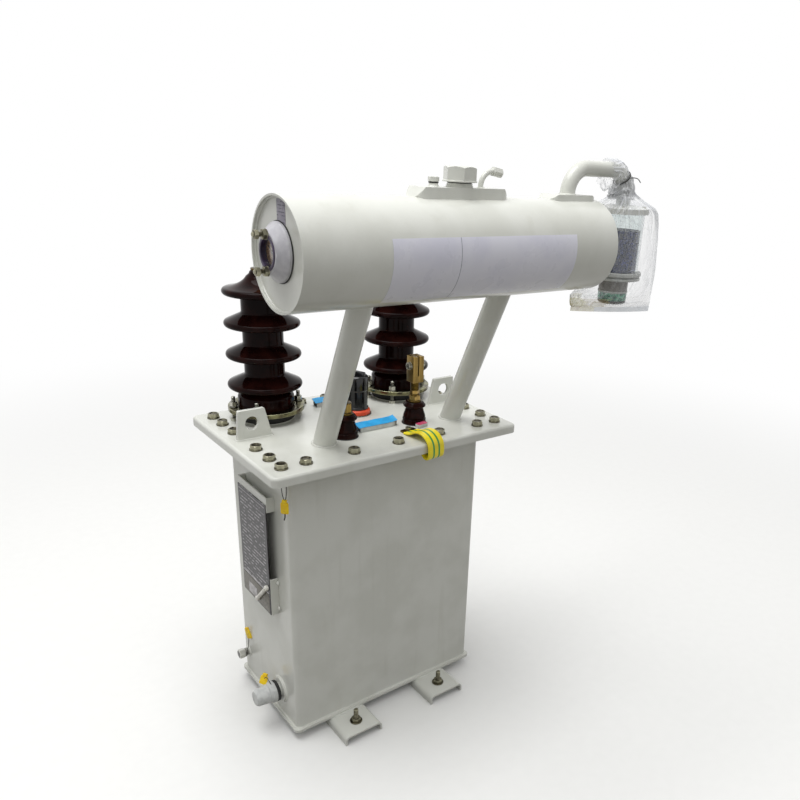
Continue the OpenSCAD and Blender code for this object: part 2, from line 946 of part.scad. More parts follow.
module breather_pipe() {
    run = breather_x - bpipe_x - 2 * bpipe_bend;
    foot = cons_r + bpad_h;
    color(PAINT)
        at_cons(bpipe_x)
            union() {
                translate([0, 0, foot])
                    cylinder(h = bpipe_rise - bpipe_bend - foot, d = bpipe_d);
                translate([bpipe_bend, 0, bpipe_rise - bpipe_bend])
                    rotate([90, 0, 0])
                        rotate([0, 0, 90])
                            bpipe_bend_part(90);
                translate([bpipe_bend, 0, bpipe_rise])
                    rotate([0, 90, 0])
                        cylinder(h = run, d = bpipe_d);
                translate([bpipe_bend + run, 0, bpipe_rise - bpipe_bend])
                    rotate([90, 0, 0])
                        bpipe_bend_part(90);
                translate([2 * bpipe_bend + run, 0, breather_top_z])
                    cylinder(h = breather_drop - bpipe_bend, d = bpipe_d);
            }
}

btop_h = 16;
btop_cone_h = 6;
btop_cone_d = 50;
bflange_h = 16;
bcup_h = 48;
bcup_d = 60;
glass_wall = 4;
gel_share = 0.72;
breather_low = btop_h + glass_h + bflange_h + bcup_h - breather_top_z;

module breather_top() {
    color(PAINT)
        at_cons(breather_x)
            translate([0, 0, breather_top_z - btop_h])
                union() {
                    cylinder(h = btop_h - btop_cone_h, d = breather_d);
                    translate([0, 0, btop_h - btop_cone_h])
                        cylinder(h = btop_cone_h, d1 = breather_d, d2 = btop_cone_d);
                }
}

module breather_glass() {
    color([0.85, 0.9, 0.92, 0.4])
        at_cons(breather_x)
            translate([0, 0, breather_top_z - btop_h - glass_h])
                difference() {
                    cylinder(h = glass_h, d = glass_d);
                    translate([0, 0, -OVER])
                        cylinder(h = glass_h + 2 * OVER, d = glass_d - 2 * glass_wall);
                }
}

module breather_gel() {
    color([0.12, 0.14, 0.28])
        at_cons(breather_x)
            translate([0, 0, breather_top_z - btop_h - glass_h])
                cylinder(h = glass_h * gel_share, d = glass_d - 2 * glass_wall - 2 * TOUCH);
}

module breather_cup() {
    color([0.75, 0.76, 0.74])
        at_cons(breather_x)
            translate([0, 0, -breather_low])
                union() {
                    translate([0, 0, bcup_h])
                        cylinder(h = bflange_h, d = breather_d);
                    cylinder(h = bcup_h, d = bcup_d);
                }
}

// Bag over the breather: rings from its sealed bottom edge up to its tied neck
bag_below = 28;
bag_above = 16;
bag_neck_h = 10;
bag_bottom = -breather_low - bag_below;
bag_h = breather_top_z + bag_above - bag_bottom;
bag_neck = bag_h - bag_neck_h;
bag_n = 48;
neck_r = bpipe_d / 2 + TOUCH + bag_t;
bag_rings = [
    // share of the height, half width left, half width right, half depth
    [0, 1.00, 1.00, 0.07],
    [0.05, 1.00, 1.00, 0.45],
    [0.15, 1.00, 1.00, 0.90],
    [0.20, 0.96, 1.00, 0.97],
    [0.25, 0.74, 1.00, 1.00],
    [0.75, 0.72, 0.97, 1.00],
    [0.86, 0.66, 0.82, 0.98],
    [0.91, 0.52, 0.60, 0.90],
    [0.945, 0.27, 0.30, 0.50]
];

function bag_ring(r, inset) = [
    for (i = [0 : bag_n - 1])
        let (a = 360 * i / bag_n,
             w = (cos(a) < 0 ? r[1] : r[2]) * bag_half,
             d = r[3] * bag_depth / 2)
            [max(w - inset, 0.5) * cos(a), max(d - inset, 0.5) * sin(a), r[0] * bag_h]
];

function neck_ring(z, rad) = [
    for (i = [0 : bag_n - 1])
        [rad * cos(360 * i / bag_n), rad * sin(360 * i / bag_n), z]
];

function quads(rows, n) = [
    for (j = [0 : rows - 2], i = [0 : n - 1])
        [j * n + i, j * n + (i + 1) % n, (j + 1) * n + (i + 1) % n, (j + 1) * n + i]
];

module breather_bag() {
    outer = concat([for (r = bag_rings) bag_ring(r, 0)],
                   [neck_ring(bag_neck, neck_r), neck_ring(bag_h, neck_r)]);
    inner = concat([neck_ring(bag_h, neck_r - bag_t), neck_ring(bag_neck, neck_r - bag_t)],
                   [for (j = [len(bag_rings) - 1 : -1 : 0])
                       let (r = bag_rings[j])
                           [for (p = bag_ring(r, bag_t + 0.2)) [p[0], p[1], p[2] + (j == 0 ? bag_t : 0)]]]);
    rings = concat(outer, inner);
    pts = [for (r = rings) for (p = r) p];
    rows = len(rings);
    color([0.85, 0.9, 0.92, 0.3])
        at_cons(breather_x)
            translate([0, 0, bag_bottom])
                polyhedron(points = pts,
                           faces = concat([for (f = quads(rows, bag_n)) [f[3], f[2], f[1], f[0]]],
                                          [[for (i = [0 : bag_n - 1]) i]],
                                          [[for (i = [bag_n - 1 : -1 : 0]) (rows - 1) * bag_n + i]]),
                           convexity = 6);
}

// Earth strap: a flat insulated strap that runs from a lug over the cover's front edge
// and curls back under the tank's flange
strap_w = 40;
strap_t = 4.4;
strap_half = strap_t / 2;
strap_x = 0.3 * next_x;
strap_turn = 5;
strap_from = 71;
strap_lug = [32, 16, 4];
front_y = -cover_d / 2;
under_z = -(cover_t + gasket_t + flange_t);
// distance behind the cover's front edge, height over the cover's top
strap_path = [
    [strap_from, strap_half], [60, strap_half + 1.5], [50, 7.5], [42, 12], [34, 14.6], [26, 15.6],
    [18, 15], [11, 12.6], [5, 9], [0, 4.2], [-3.4, -1.6], [-5, -8], [-5.6, -15], [-5.4, -22],
    [-3.6, -27], [0, -30], [4.5, -30.8], [9, -29.4], [13, -26], [17, -21.4], [22, -17.6],
    [29, under_z - strap_half - 0.6], [42, under_z - strap_half + TOUCH]
];

function strap_dir(i) =
    let (p = strap_path[max(i - 1, 0)],
         q = strap_path[min(i + 1, len(strap_path) - 1)])
        (q - p) / norm(q - p);

function strap_edge(side) = [
    for (i = [0 : len(strap_path) - 1])
        strap_path[i] + side * strap_half * [-strap_dir(i)[1], strap_dir(i)[0]]
];

module earth_strap() {
    low = strap_edge(-1);
    points = concat(strap_edge(1), [for (i = [len(low) - 1 : -1 : 0]) low[i]]);
    color([0.85, 0.85, 0.15])
        at_tank(cover_top)
            translate([strap_x, front_y, 0])
                rotate([0, 0, strap_turn])
                    rotate([90, 0, 90])
                        linear_extrude(strap_w, center = true)
                            polygon(points);
}

module earth_lug() {
    color(BRASS)
        at_tank(cover_top)
            translate([strap_x, front_y, 0])
                rotate([0, 0, strap_turn])
                    translate([-strap_lug[0] / 2, strap_from, 0])
                        cube(strap_lug);
}

// Label holders
holder_free = 69;
holder_w = lv_pitch - holder_free;
back_holder_w = 92;
holder_d = 18;
holder_h = 16;
holder_t = 1.5;

module label_holder(x, y, w) {
    color([0.2, 0.55, 0.78])
        at_tank(cover_top)
            translate([x, y, 0])
                difference() {
                    translate([-w / 2, -holder_d / 2, 0])
                        cube([w, holder_d, holder_h]);
                    translate([-w / 2 - OVER, -holder_d / 2 + holder_t, -OVER])
                        cube([w + 2 * OVER, holder_d - 2 * holder_t, holder_h - holder_t + OVER]);
                }
}

module label_holder_front() { label_holder(lv_x - 4, -lv_y + 9, holder_w); }
module label_holder_back() { label_holder(hv_x, hv_y + 10, back_holder_w); }

// Nameplate on its holder, on the tank's left wall
plate_w = 126;
plate_h = 240;
plate_t = 1.5;
plate_y = -4;
plate_z = 395;
plate_gap = 16;
bracket_t = 3;
bracket_tab = 14;
low_bracket_h = 80;
top_bracket_h = 30;
top_rail_h = 15;

// One bracket stands out from the wall along an upright edge of the plate, and its
// tab lies behind the plate.
module plate_bracket(s, z, high) {
    edge = s * (plate_w / 2 + bracket_t);
    tab_y = s > 0 ? edge - bracket_tab : edge;
    translate([-plate_gap, min(edge, edge - s * bracket_t), z])
        cube([plate_gap, bracket_t, high]);
    translate([-plate_gap, tab_y, z])
        cube([bracket_t, bracket_tab, high]);
}

module nameplate_holder() {
    low_z = -plate_h / 2;
    top_z = plate_h / 2;
    color(PAINT)
        at_tank(plate_z)
            translate([-tank_w / 2, plate_y, 0])
                union() {
                    for (s = [-1, 1]) {
                        plate_bracket(s, low_z, low_bracket_h);
                        plate_bracket(s, top_z + top_rail_h - top_bracket_h, top_bracket_h);
                    }
                    translate([-plate_gap, -plate_w / 2 - bracket_t, top_z])
                        cube([bracket_t, plate_w + 2 * bracket_t, top_rail_h]);
                }
}

module nameplate() {
    color([0.6, 0.6, 0.6])
        at_tank(plate_z)
            translate([-tank_w / 2 - plate_gap - plate_t, plate_y - plate_w / 2, -plate_h / 2])
                cube([plate_t, plate_w, plate_h]);
}

// Drain and sampling fittings, low on the left wall
drain_y = -58;
drain_z = 83;
drain_r = 19;
drain_weld_d = 54;
drain_weld_h = 5;
drain_stub_d = 32;
drain_stub_h = 16;
drain_cap_h = 42;
drain_collar_h = 9;
plug_y = 105;
plug_z = 78;
plug_d = 18;
plug_h = 12;
plug_hex_r = 11;
plug_hex_h = 12;

module on_left_wall(y, z) {
    at_tank(z)
        translate([-tank_w / 2, y, 0])
            rotate([0, -90, 0])
                children();
}

module drain_stub() {
    color(PAINT)
        on_left_wall(drain_y, drain_z)
            union() {
                cylinder(h = drain_weld_h, d = drain_weld_d);
                cylinder(h = drain_stub_h, d = drain_stub_d);
            }
}

module drain_cap() {
    color(PAINT)
        on_left_wall(drain_y, drain_z)
            translate([0, 0, drain_stub_h])
                rotate_extrude()
                    polygon([[0, 0], [drain_r + 3, 0], [drain_r + 3, drain_collar_h],
                             [drain_r + 0.5, drain_collar_h + 1], [drain_r + 0.5, drain_collar_h + 4],
                             [drain_r, drain_collar_h + 5], [drain_r - 1.5, drain_cap_h - 2],
                             [drain_r - 3.5, drain_cap_h], [0, drain_cap_h]]);
}

module sampling_plug() {
    color(PAINT)
        on_left_wall(plug_y, plug_z)
            union() {
                cylinder(h = plug_h, d = plug_d);
                translate([0, 0, plug_h])
                    cylinder(h = plug_hex_h, r = plug_hex_r, $fn = 6);
            }
}

foot_left();
foot_right();
bottom_plate();
tank_walls();
tank_flange();
cover_gasket();
cover_plate();
cover_bolts();
foot_studs();
hv_turret_left();
hv_turret_right();
hv_clamp_left();
hv_clamp_right();
hv_porcelain_left();
hv_porcelain_right();
hv_terminal_left();
hv_terminal_right();
lv_porcelain_left();
lv_porcelain_right();
lv_terminal_left();
lv_terminal_right();
tap_changer_base();
tap_changer_head();
lifting_lug_left();
lifting_lug_right();
support_pipe_left();
support_pipe_right();
conservator_shell();
conservator_cap_left();
conservator_cap_right();
oil_gauge();
gauge_glass();
filler_pad();
filler_neck();
filler_cap();
vent_plug();
vent_tube();
breather_pad();
breather_pipe();
breather_top();
breather_glass();
breather_gel();
breather_cup();
breather_bag();
earth_lug();
earth_strap();
label_holder_front();
label_holder_back();
nameplate_holder();
nameplate();
drain_stub();
drain_cap();
sampling_plug();
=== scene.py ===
"""Dresses the pole mounted transformer: its finishes, fasteners, welds, seals and film bag.

Sizes are in millimetres from the tank's upright centre line, at the feet's underside,
with X to the right, Y to the back and Z up. Form.piece() turns them into the row frame.
"""

import logging
import math
import random
from collections.abc import Callable, Sequence
from dataclasses import dataclass, field
from enum import Enum

import bmesh
import bpy
from mathutils import Matrix, Vector, noise


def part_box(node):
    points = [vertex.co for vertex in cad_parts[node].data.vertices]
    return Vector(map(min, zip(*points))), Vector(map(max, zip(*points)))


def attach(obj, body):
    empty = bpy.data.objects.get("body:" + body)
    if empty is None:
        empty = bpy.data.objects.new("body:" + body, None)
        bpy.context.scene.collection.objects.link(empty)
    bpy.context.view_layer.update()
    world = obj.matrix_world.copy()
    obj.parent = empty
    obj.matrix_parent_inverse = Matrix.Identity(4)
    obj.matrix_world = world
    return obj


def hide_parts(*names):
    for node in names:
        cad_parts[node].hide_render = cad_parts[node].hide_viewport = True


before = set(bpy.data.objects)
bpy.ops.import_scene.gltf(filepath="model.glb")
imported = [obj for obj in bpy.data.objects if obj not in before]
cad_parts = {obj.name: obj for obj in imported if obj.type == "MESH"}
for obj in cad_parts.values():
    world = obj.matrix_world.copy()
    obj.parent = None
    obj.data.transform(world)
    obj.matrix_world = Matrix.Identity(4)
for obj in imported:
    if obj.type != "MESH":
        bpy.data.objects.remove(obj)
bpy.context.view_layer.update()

MM = 0.001
COVER_LOW, COVER_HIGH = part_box("cover_plate")
MIDDLE = Vector(((COVER_LOW.x + COVER_HIGH.x) / 2, (COVER_LOW.y + COVER_HIGH.y) / 2, 0.0))
COVER_TOP = COVER_HIGH.z / MM
FLANGE_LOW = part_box("tank_flange")[0].z / MM
BODY = "root"
log = logging.getLogger("transformer")

Outline = list[Vector]
Span = tuple[float, float]
Tree, Node, Socket = bpy.types.NodeTree, bpy.types.Node, bpy.types.NodeSocket
Link = Socket | float | tuple | Vector
WHITE = (1.0, 1.0, 1.0, 1.0)


# Small helpers for nodes and colours
def hex_to_linear(code: str) -> tuple[float, float, float, float]:
    """Turns an sRGB hex colour into the linear colour that a shader takes.

    Args:
        code: Six hex digits after a hash.

    Returns:
        Linear red, green, blue and an alpha of 1.
    """
    shares = [int(code[i : i + 2], 16) / 255 for i in (1, 3, 5)]
    red, green, blue = (c / 12.92 if c <= 0.04045 else ((c + 0.055) / 1.055) ** 2.4 for c in shares)
    return red, green, blue, 1.0


def add(tree: Tree, kind: str, inputs: dict[str | int, Link] | None = None, **settings: object) -> Node:
    """Adds one node with its settings, and sets or links its inputs.

    Args:
        tree: The node tree that takes the node.
        kind: Blender's name for the node type.
        inputs: A value or an output socket for each input, by its name or number.
        **settings: The node's own properties.

    Returns:
        The new node.
    """
    node = tree.nodes.new(kind)
    for key, value in settings.items():
        setattr(node, key, value)
    for key, value in (inputs or {}).items():
        if isinstance(value, Socket):
            tree.links.new(value, node.inputs[key])
        else:
            node.inputs[key].default_value = value
    return node


def per_mm(size: float) -> float:
    """Returns the texture scale whose features are this many millimetres across."""
    return 1.0 / (size * MM)


# Finishes
@dataclass(frozen=True)
class Finish:
    """What every finish shares: two tones that cloud into each other, gloss and a fine grain."""

    name: str
    colour: str
    tone: str
    cloud_mm: float
    roughness: float
    swing: float
    grain_mm: float
    grain_high_mm: float
    metallic: float = 0.0
    ior: float = 1.5
    specular: float = 0.5

    def material(self) -> bpy.types.Material:
        """Makes this finish's material, the first time that it is asked for.

        Returns:
            The material.
        """
        made = bpy.data.materials.get(self.name)
        if made is None:
            made = bpy.data.materials.new(self.name)
            made.use_nodes = True
            tree = made.node_tree
            tree.nodes.clear()
            place = add(tree, "ShaderNodeTexCoord").outputs["Object"]
            shader = add(tree, "ShaderNodeBsdfPrincipled",
                         {"Metallic": self.metallic, "Specular IOR Level": self.specular})
            if not self.metallic:
                shader.inputs["IOR"].default_value = self.ior
            add(tree, "ShaderNodeOutputMaterial", {"Surface": shader.outputs[0]})
            self.dress(tree, place, shader)
        return made

    def dress(self, tree: Tree, place: Socket, shader: Node) -> None:
        """Links colour, gloss and grain to the shader.

        Args:
            tree: The material's node tree.
            place: Object coordinates, in metres.
            shader: The Principled shader.
        """
        colour = self.colour_of(tree, place)
        wear = add(tree, "ShaderNodeTexNoise",
                   {"Vector": place, "Scale": per_mm(self.cloud_mm * 0.6), "Detail": 4.0}).outputs[0]
        low, high = max(0.02, self.roughness - self.swing), min(1.0, self.roughness + self.swing)
        gloss = add(tree, "ShaderNodeMapRange", {"Value": wear, "To Min": low, "To Max": high})
        tree.links.new(colour, shader.inputs["Base Color"])
        tree.links.new(gloss.outputs[0], shader.inputs["Roughness"])
        grain = self.grain_of(tree, place)
        bump = add(tree, "ShaderNodeBump",
                   {"Height": grain, "Distance": self.grain_high_mm * MM, "Strength": 1.0})
        tree.links.new(bump.outputs[0], shader.inputs["Normal"])

    def clouds(self, tree: Tree, place: Socket, size: float, detail: float, cut: Span) -> Socket:
        """Draws soft clouds.

        Args:
            tree: The material's node tree.
            place: Where the pattern is read.
            size: How wide a cloud is, in millimetres.
            detail: How fine its edge is.
            cut: The noise at which a cloud starts, and at which it is full.

        Returns:
            0 between the clouds and 1 inside them.
        """
        lumps = add(tree, "ShaderNodeTexNoise",
                    {"Vector": place, "Scale": per_mm(size), "Detail": detail}).outputs[0]
        return add(tree, "ShaderNodeMapRange", {"Value": lumps, "From Min": cut[0], "From Max": cut[1]},
                   interpolation_type="SMOOTHSTEP").outputs[0]

    def colour_of(self, tree: Tree, place: Socket) -> Socket:
        """Mixes the two tones in soft clouds.

        Args:
            tree: The material's node tree.
            place: Object coordinates, in metres.

        Returns:
            The surface's colour.
        """
        share = self.clouds(tree, place, self.cloud_mm, 5.0, (0.38, 0.66))
        one, other = hex_to_linear(self.colour), hex_to_linear(self.tone)
        return add(tree, "ShaderNodeMix", {0: share, 6: one, 7: other}, data_type="RGBA").outputs[2]

    def grain_of(self, tree: Tree, place: Socket) -> Socket:
        """Returns the height of the fine grain, from 0 to 1."""
        return add(tree, "ShaderNodeTexNoise",
                   {"Vector": place, "Scale": per_mm(self.grain_mm), "Detail": 2.0}).outputs[0]


@dataclass(frozen=True)
class SprayedEnamel(Finish):
    """Enamel sprayed on steel sheet: soft gloss, orange peel, faint runs of dust."""

    dust: str = "#a9a796"
    dust_share: float = 0.13
    streak_mm: float = 22.0
    speck_mm: float = 5.0
    wave_mm: float = 150.0
    wave_high: float = 9.0

    def colour_of(self, tree: Tree, place: Socket) -> Socket:
        """Lays dust on the paint, in streaks down its sides and in specks.

        Args:
            tree: The material's node tree.
            place: Object coordinates, in metres.

        Returns:
            The surface's colour.
        """
        paint = Finish.colour_of(self, tree, place)
        drawn = add(tree, "ShaderNodeMapping", {"Vector": place, "Scale": (1.0, 1.0, 0.1)}).outputs[0]
        streaks = self.clouds(tree, drawn, self.streak_mm, 6.0, (0.56, 0.8))
        specks = self.clouds(tree, place, self.speck_mm, 6.0, (0.62, 0.78))
        both = add(tree, "ShaderNodeMath", {0: streaks, 1: specks}, operation="MAXIMUM").outputs[0]
        share = add(tree, "ShaderNodeMath", {0: both, 1: self.dust_share}, operation="MULTIPLY").outputs[0]
        return add(tree, "ShaderNodeMix", {0: share, 6: paint, 7: hex_to_linear(self.dust)},
                   data_type="RGBA").outputs[2]

    def grain_of(self, tree: Tree, place: Socket) -> Socket:
        """Lays orange peel over the slow waves of a welded sheet.

        Args:
            tree: The material's node tree.
            place: Object coordinates, in metres.

        Returns:
            The height of both together.
        """
        peel, waves = (add(tree, "ShaderNodeTexNoise",
                           {"Vector": place, "Scale": per_mm(size), "Detail": 1.0}).outputs[0]
                       for size in (self.grain_mm, self.wave_mm))
        return add(tree, "ShaderNodeMath", {0: waves, 1: self.wave_high, 2: peel},
                   operation="MULTIPLY_ADD").outputs[0]


@dataclass(frozen=True)
class EdgeHighlightFinish(Finish):
    """A finish whose convex edges show another colour: a painted highlight along them."""

    edge: str = "#ffffff"
    edge_from: float = 0.52
    edge_to: float = 0.6

    def colour_of(self, tree: Tree, place: Socket) -> Socket:
        """Gives the edges their own colour: a painted highlight along them.

        Args:
            tree: The material's node tree.
            place: Object coordinates, in metres.

        Returns:
            The surface's colour.
        """
        inner = Finish.colour_of(self, tree, place)
        points = add(tree, "ShaderNodeNewGeometry").outputs["Pointiness"]
        share = add(tree, "ShaderNodeMapRange",
                    {"Value": points, "From Min": self.edge_from, "From Max": self.edge_to},
                    interpolation_type="SMOOTHSTEP").outputs[0]
        return add(tree, "ShaderNodeMix", {0: share, 6: inner, 7: hex_to_linear(self.edge)},
                   data_type="RGBA").outputs[2]


@dataclass(frozen=True)
class ClearGlass(Finish):
    """Pressed glass, clear, with a slight wave."""

    def dress(self, tree: Tree, place: Socket, shader: Node) -> None:
        """Links what every finish links, and lets light through."""
        Finish.dress(self, tree, place, shader)
        shader.inputs["Transmission Weight"].default_value = 1.0


@dataclass(frozen=True)
class BlownFilm(Finish):
    """Thin polyethylene film: clear where it lies flat, milky at a glancing angle and along its creases,
    where the white is a painted glint.
    """

    clear: float = 0.2
    milky: float = 0.75
    cloud_milk: float = 0.25
    crease_milk_and_glint: float = 0.45

    def dress(self, tree: Tree, place: Socket, shader: Node) -> None:
        """Links the film's opacity, which rises at a glancing angle and along creases, where the white film
        paints a glint.

        Args:
            tree: The material's node tree.
            place: Object coordinates, in metres.
            shader: The Principled shader.
        """
        Finish.dress(self, tree, place, shader)
        slant = add(tree, "ShaderNodeLayerWeight", {"Blend": 0.3}).outputs["Facing"]
        drawn = add(tree, "ShaderNodeMapping", {"Vector": place, "Scale": (1.0, 1.0, 0.35)}).outputs[0]
        clouds = self.clouds(tree, drawn, self.cloud_mm * 0.5, 3.0, (0.55, 0.75))
        # Convex creases take more of the white film: a painted glint along each crease.
        points = add(tree, "ShaderNodeNewGeometry").outputs["Pointiness"]
        creased = add(tree, "ShaderNodeMapRange", {"Value": points, "From Min": 0.502, "From Max": 0.53},
                      interpolation_type="SMOOTHSTEP").outputs[0]
        milk = slant
        for mask, weight in ((clouds, self.cloud_milk), (creased, self.crease_milk_and_glint)):
            milk = add(tree, "ShaderNodeMath", {0: mask, 1: weight, 2: milk},
                       operation="MULTIPLY_ADD").outputs[0]
        alpha = add(tree, "ShaderNodeMapRange", {"Value": milk, "To Min": self.clear, "To Max": self.milky})
        tree.links.new(alpha.outputs[0], shader.inputs["Alpha"])


@dataclass(frozen=True)
class BeadedGel(Finish):
    """A filling of round gel beads, dark, with a few pale ones."""

    pale: str = "#6d7890"

    def colour_of(self, tree: Tree, place: Socket) -> Socket:
        """Gives each bead one tone.

        Args:
            tree: The material's node tree.
            place: Object coordinates, in metres.

        Returns:
            The surface's colour.
        """
        beads = add(tree, "ShaderNodeTexVoronoi", {"Vector": place, "Scale": per_mm(self.grain_mm)})
        draw = beads.outputs["Color"]
        share = add(tree, "ShaderNodeMapRange", {"Value": draw, "From Min": 0.55, "From Max": 0.95},
                    interpolation_type="SMOOTHSTEP").outputs[0]
        return add(tree, "ShaderNodeMix", {0: share, 6: Finish.colour_of(self, tree, place),
                                           7: hex_to_linear(self.pale)}, data_type="RGBA").outputs[2]

    def grain_of(self, tree: Tree, place: Socket) -> Socket:
        """Rounds the tops of the beads.

        Args:
            tree: The material's node tree.
            place: Object coordinates, in metres.

        Returns:
            The height of the beads, from 0 to 1.
        """
        beads = add(tree, "ShaderNodeTexVoronoi", {"Vector": place, "Scale": per_mm(self.grain_mm)})
        off = beads.outputs["Distance"]
        return add(tree, "ShaderNodeMath", {0: 1.0, 1: off}, operation="SUBTRACT").outputs[0]


@dataclass(frozen=True)
class StripedPvc(Finish):
    """Soft PVC in yellow with green stripes along it; its UV runs 0 to 1 across the strap."""

    stripe: str = "#3c9440"
    stripes: tuple[Span, ...] = ((0.26, 0.37), (0.59, 0.7))
    blur: float = 0.01

    def colour_of(self, tree: Tree, place: Socket) -> Socket:
        """Draws the stripes.

        Args:
            tree: The material's node tree.
            place: Object coordinates, in metres.

        Returns:
            The surface's colour.
        """
        base = Finish.colour_of(self, tree, place)
        strap = add(tree, "ShaderNodeUVMap", uv_map="across").outputs[0]
        across = add(tree, "ShaderNodeSeparateXYZ", {0: strap}).outputs[0]
        for low, high in self.stripes:
            rise, fall = (add(tree, "ShaderNodeMapRange", {"Value": across, "From Min": a, "From Max": b},
                              interpolation_type="SMOOTHSTEP").outputs[0]
                          for a, b in ((low, low + self.blur), (high + self.blur, high)))
            inside = add(tree, "ShaderNodeMath", {0: rise, 1: fall}, operation="MULTIPLY").outputs[0]
            base = add(tree, "ShaderNodeMix", {0: inside, 6: base, 7: hex_to_linear(self.stripe)},
                       data_type="RGBA").outputs[2]
        return base


@dataclass(frozen=True)
class RuledPlate(Finish):
    """A plate or label with rows of short rules, and no lettering."""

    rule: str = "#8f8c90"
    row_mm: float = 7.0
    line: Span = (0.62, 0.72)
    gaps: Span = (0.42, 0.6)
    ruled_y: Span = (-1.0, 1.0)
    margin_blur: float = 0.002
    along_scale: float = 70.0
    row_shift: float = 3.7
    broken_scale: float = 1.2

    def colour_of(self, tree: Tree, place: Socket) -> Socket:
        """Draws the rules, broken up along each row, inside a bare margin.

        Args:
            tree: The material's node tree.
            place: Object coordinates, in metres.

        Returns:
            The surface's colour.
        """
        base = Finish.colour_of(self, tree, place)
        axes = add(tree, "ShaderNodeSeparateXYZ", {0: place})
        y = axes.outputs[1]
        rows = add(tree, "ShaderNodeMath", {0: axes.outputs[2], 1: per_mm(self.row_mm)},
                   operation="MULTIPLY").outputs[0]
        part, row = (add(tree, "ShaderNodeMath", {0: rows}, operation=kind).outputs[0]
                     for kind in ("FRACT", "FLOOR"))
        along, down = (add(tree, "ShaderNodeMath", {0: value, 1: by}, operation="MULTIPLY").outputs[0]
                       for value, by in ((y, self.along_scale), (row, self.row_shift)))
        seat = add(tree, "ShaderNodeCombineXYZ", {0: along, 1: down}).outputs[0]
        broken = add(tree, "ShaderNodeTexNoise",
                     {"Vector": seat, "Scale": self.broken_scale, "Detail": 4.0}).outputs[0]
        low, high = self.ruled_y
        share: Link = 1.0
        for value, start, end in ((part, *self.line), (broken, *self.gaps), (y, low, low + self.margin_blur),
                                  (y, high, high - self.margin_blur)):
            inside = add(tree, "ShaderNodeMapRange", {"Value": value, "From Min": start, "From Max": end},
                         interpolation_type="SMOOTHSTEP").outputs[0]
            share = add(tree, "ShaderNodeMath", {0: share, 1: inside}, operation="MULTIPLY").outputs[0]
        return add(tree, "ShaderNodeMix", {0: share, 6: base, 7: hex_to_linear(self.rule)},
                   data_type="RGBA").outputs[2]


# The body's enamel: the eye sees a pale warm grey with a soft sheen and a slight peel. Real
# peel is 1 to 2 mm across, drawn here at 5 mm so that it shows.
PAINT = SprayedEnamel("sprayed_enamel_on_steel", "#d8d9d2", "#d0d1c9", 90.0, 0.22, 0.06, 5.0, 0.03)
# Fired glaze over brown slip: near black with a red cast and sharp highlights, and a painted red brown
# highlight on its lips. Its mirror is turned down, as the studio is white all round and would grey it.
PORCELAIN = EdgeHighlightFinish("glazed_porcelain", "#150706", "#240e0b", 26.0, 0.07, 0.03, 18.0, 0.05,
                        specular=0.06, edge="#3c1c15", edge_from=0.53, edge_to=0.62)
# Turned brass, handled and dulled: yellow brown, with a painted highlight on its edges.
BRASS = EdgeHighlightFinish("turned_brass", "#4f3e16", "#33280f", 5.0, 0.32, 0.12, 1.5, 0.08, metallic=1.0,
                    edge="#b3965a")
# Zinc plate with a yellow chromate dip: straw brown that turns pink and green in clouds, with a painted
# highlight on its edges.
ZINC = EdgeHighlightFinish("yellow_chromated_zinc", "#736f5e", "#342f28", 5.0, 0.32, 0.1, 1.2, 0.04, metallic=1.0,
                   edge="#a5a28c")
# Steel ring in yellow chromate: olive where it lies flat, with a painted cream highlight on its rim.
CHROMATED_RING = EdgeHighlightFinish("chromated_steel_ring", "#7f7d5a", "#544d3c", 18.0, 0.2, 0.06, 1.4, 0.03,
                             metallic=1.0, edge="#f4f2d4")
# Zinc casting under silver lacquer: pale, slightly violet grey, with a soft bloom and a painted highlight on
# its rims.
CASTING = EdgeHighlightFinish("lacquered_zinc_casting", "#c6c5ca", "#b7b6bc", 14.0, 0.36, 0.08, 2.4, 0.06,
                      edge="#dcdbe0")
# Bright zinc plate on studs and nuts: a cold grey, with a painted highlight on its edges.
BRIGHT_ZINC = EdgeHighlightFinish("bright_zinc_plate", "#77766c", "#4d4b43", 5.0, 0.28, 0.08, 1.2, 0.04, metallic=1.0,
                          edge="#cbcabf")
# Cast and machined aluminium: dull silver with a fine tooth, and a painted highlight on its edges.
ALUMINIUM = EdgeHighlightFinish("machined_aluminium", "#a3a39d", "#8c8b84", 14.0, 0.42, 0.1, 1.6, 0.05, metallic=1.0,
                        edge="#d6d6d0")
# Nitrile rubber, cut from sheet: nearly black and dull.
RUBBER = Finish("cut_nitrile_rubber", "#1a1a1a", "#262624", 12.0, 0.7, 0.1, 1.6, 0.08)
# A moulded rubber ring that shows violet where the light catches it.
VIOLET_RUBBER = Finish("moulded_violet_rubber", "#241a30", "#3a2a4a", 14.0, 0.42, 0.1, 2.0, 0.05)
# Moulded phenolic: deep black with a polished skin, and a painted grey highlight on its edges.
PHENOLIC = EdgeHighlightFinish("moulded_black_phenolic", "#0b0b0c", "#141416", 20.0, 0.12, 0.05, 6.0, 0.03,
                       edge="#3a3b3e")
# Moulded nylon in orange red, slightly chalky.
NYLON = Finish("moulded_orange_nylon", "#e8502a", "#d84420", 12.0, 0.42, 0.1, 2.0, 0.05)
# Natural nylon, uncoloured: a warm white, with a waxy sheen.
NATURAL_NYLON = Finish("moulded_natural_nylon", "#eae8e0", "#dad7cd", 10.0, 0.35, 0.08, 2.0, 0.04)
# Pressed soda glass: clear, with a slight bend in what shows through it.
GLASS = ClearGlass("pressed_clear_glass", "#f1f5f4", "#e6ecec", 30.0, 0.05, 0.03, 14.0, 0.02)
# Silica gel: beads of 2 to 4 mm, drawn at 4 mm, dark blue with a glassy skin.
GEL = BeadedGel("silica_gel_beads", "#0d1340", "#1c2660", 16.0, 0.25, 0.08, 4.2, 0.9, pale="#38468c")
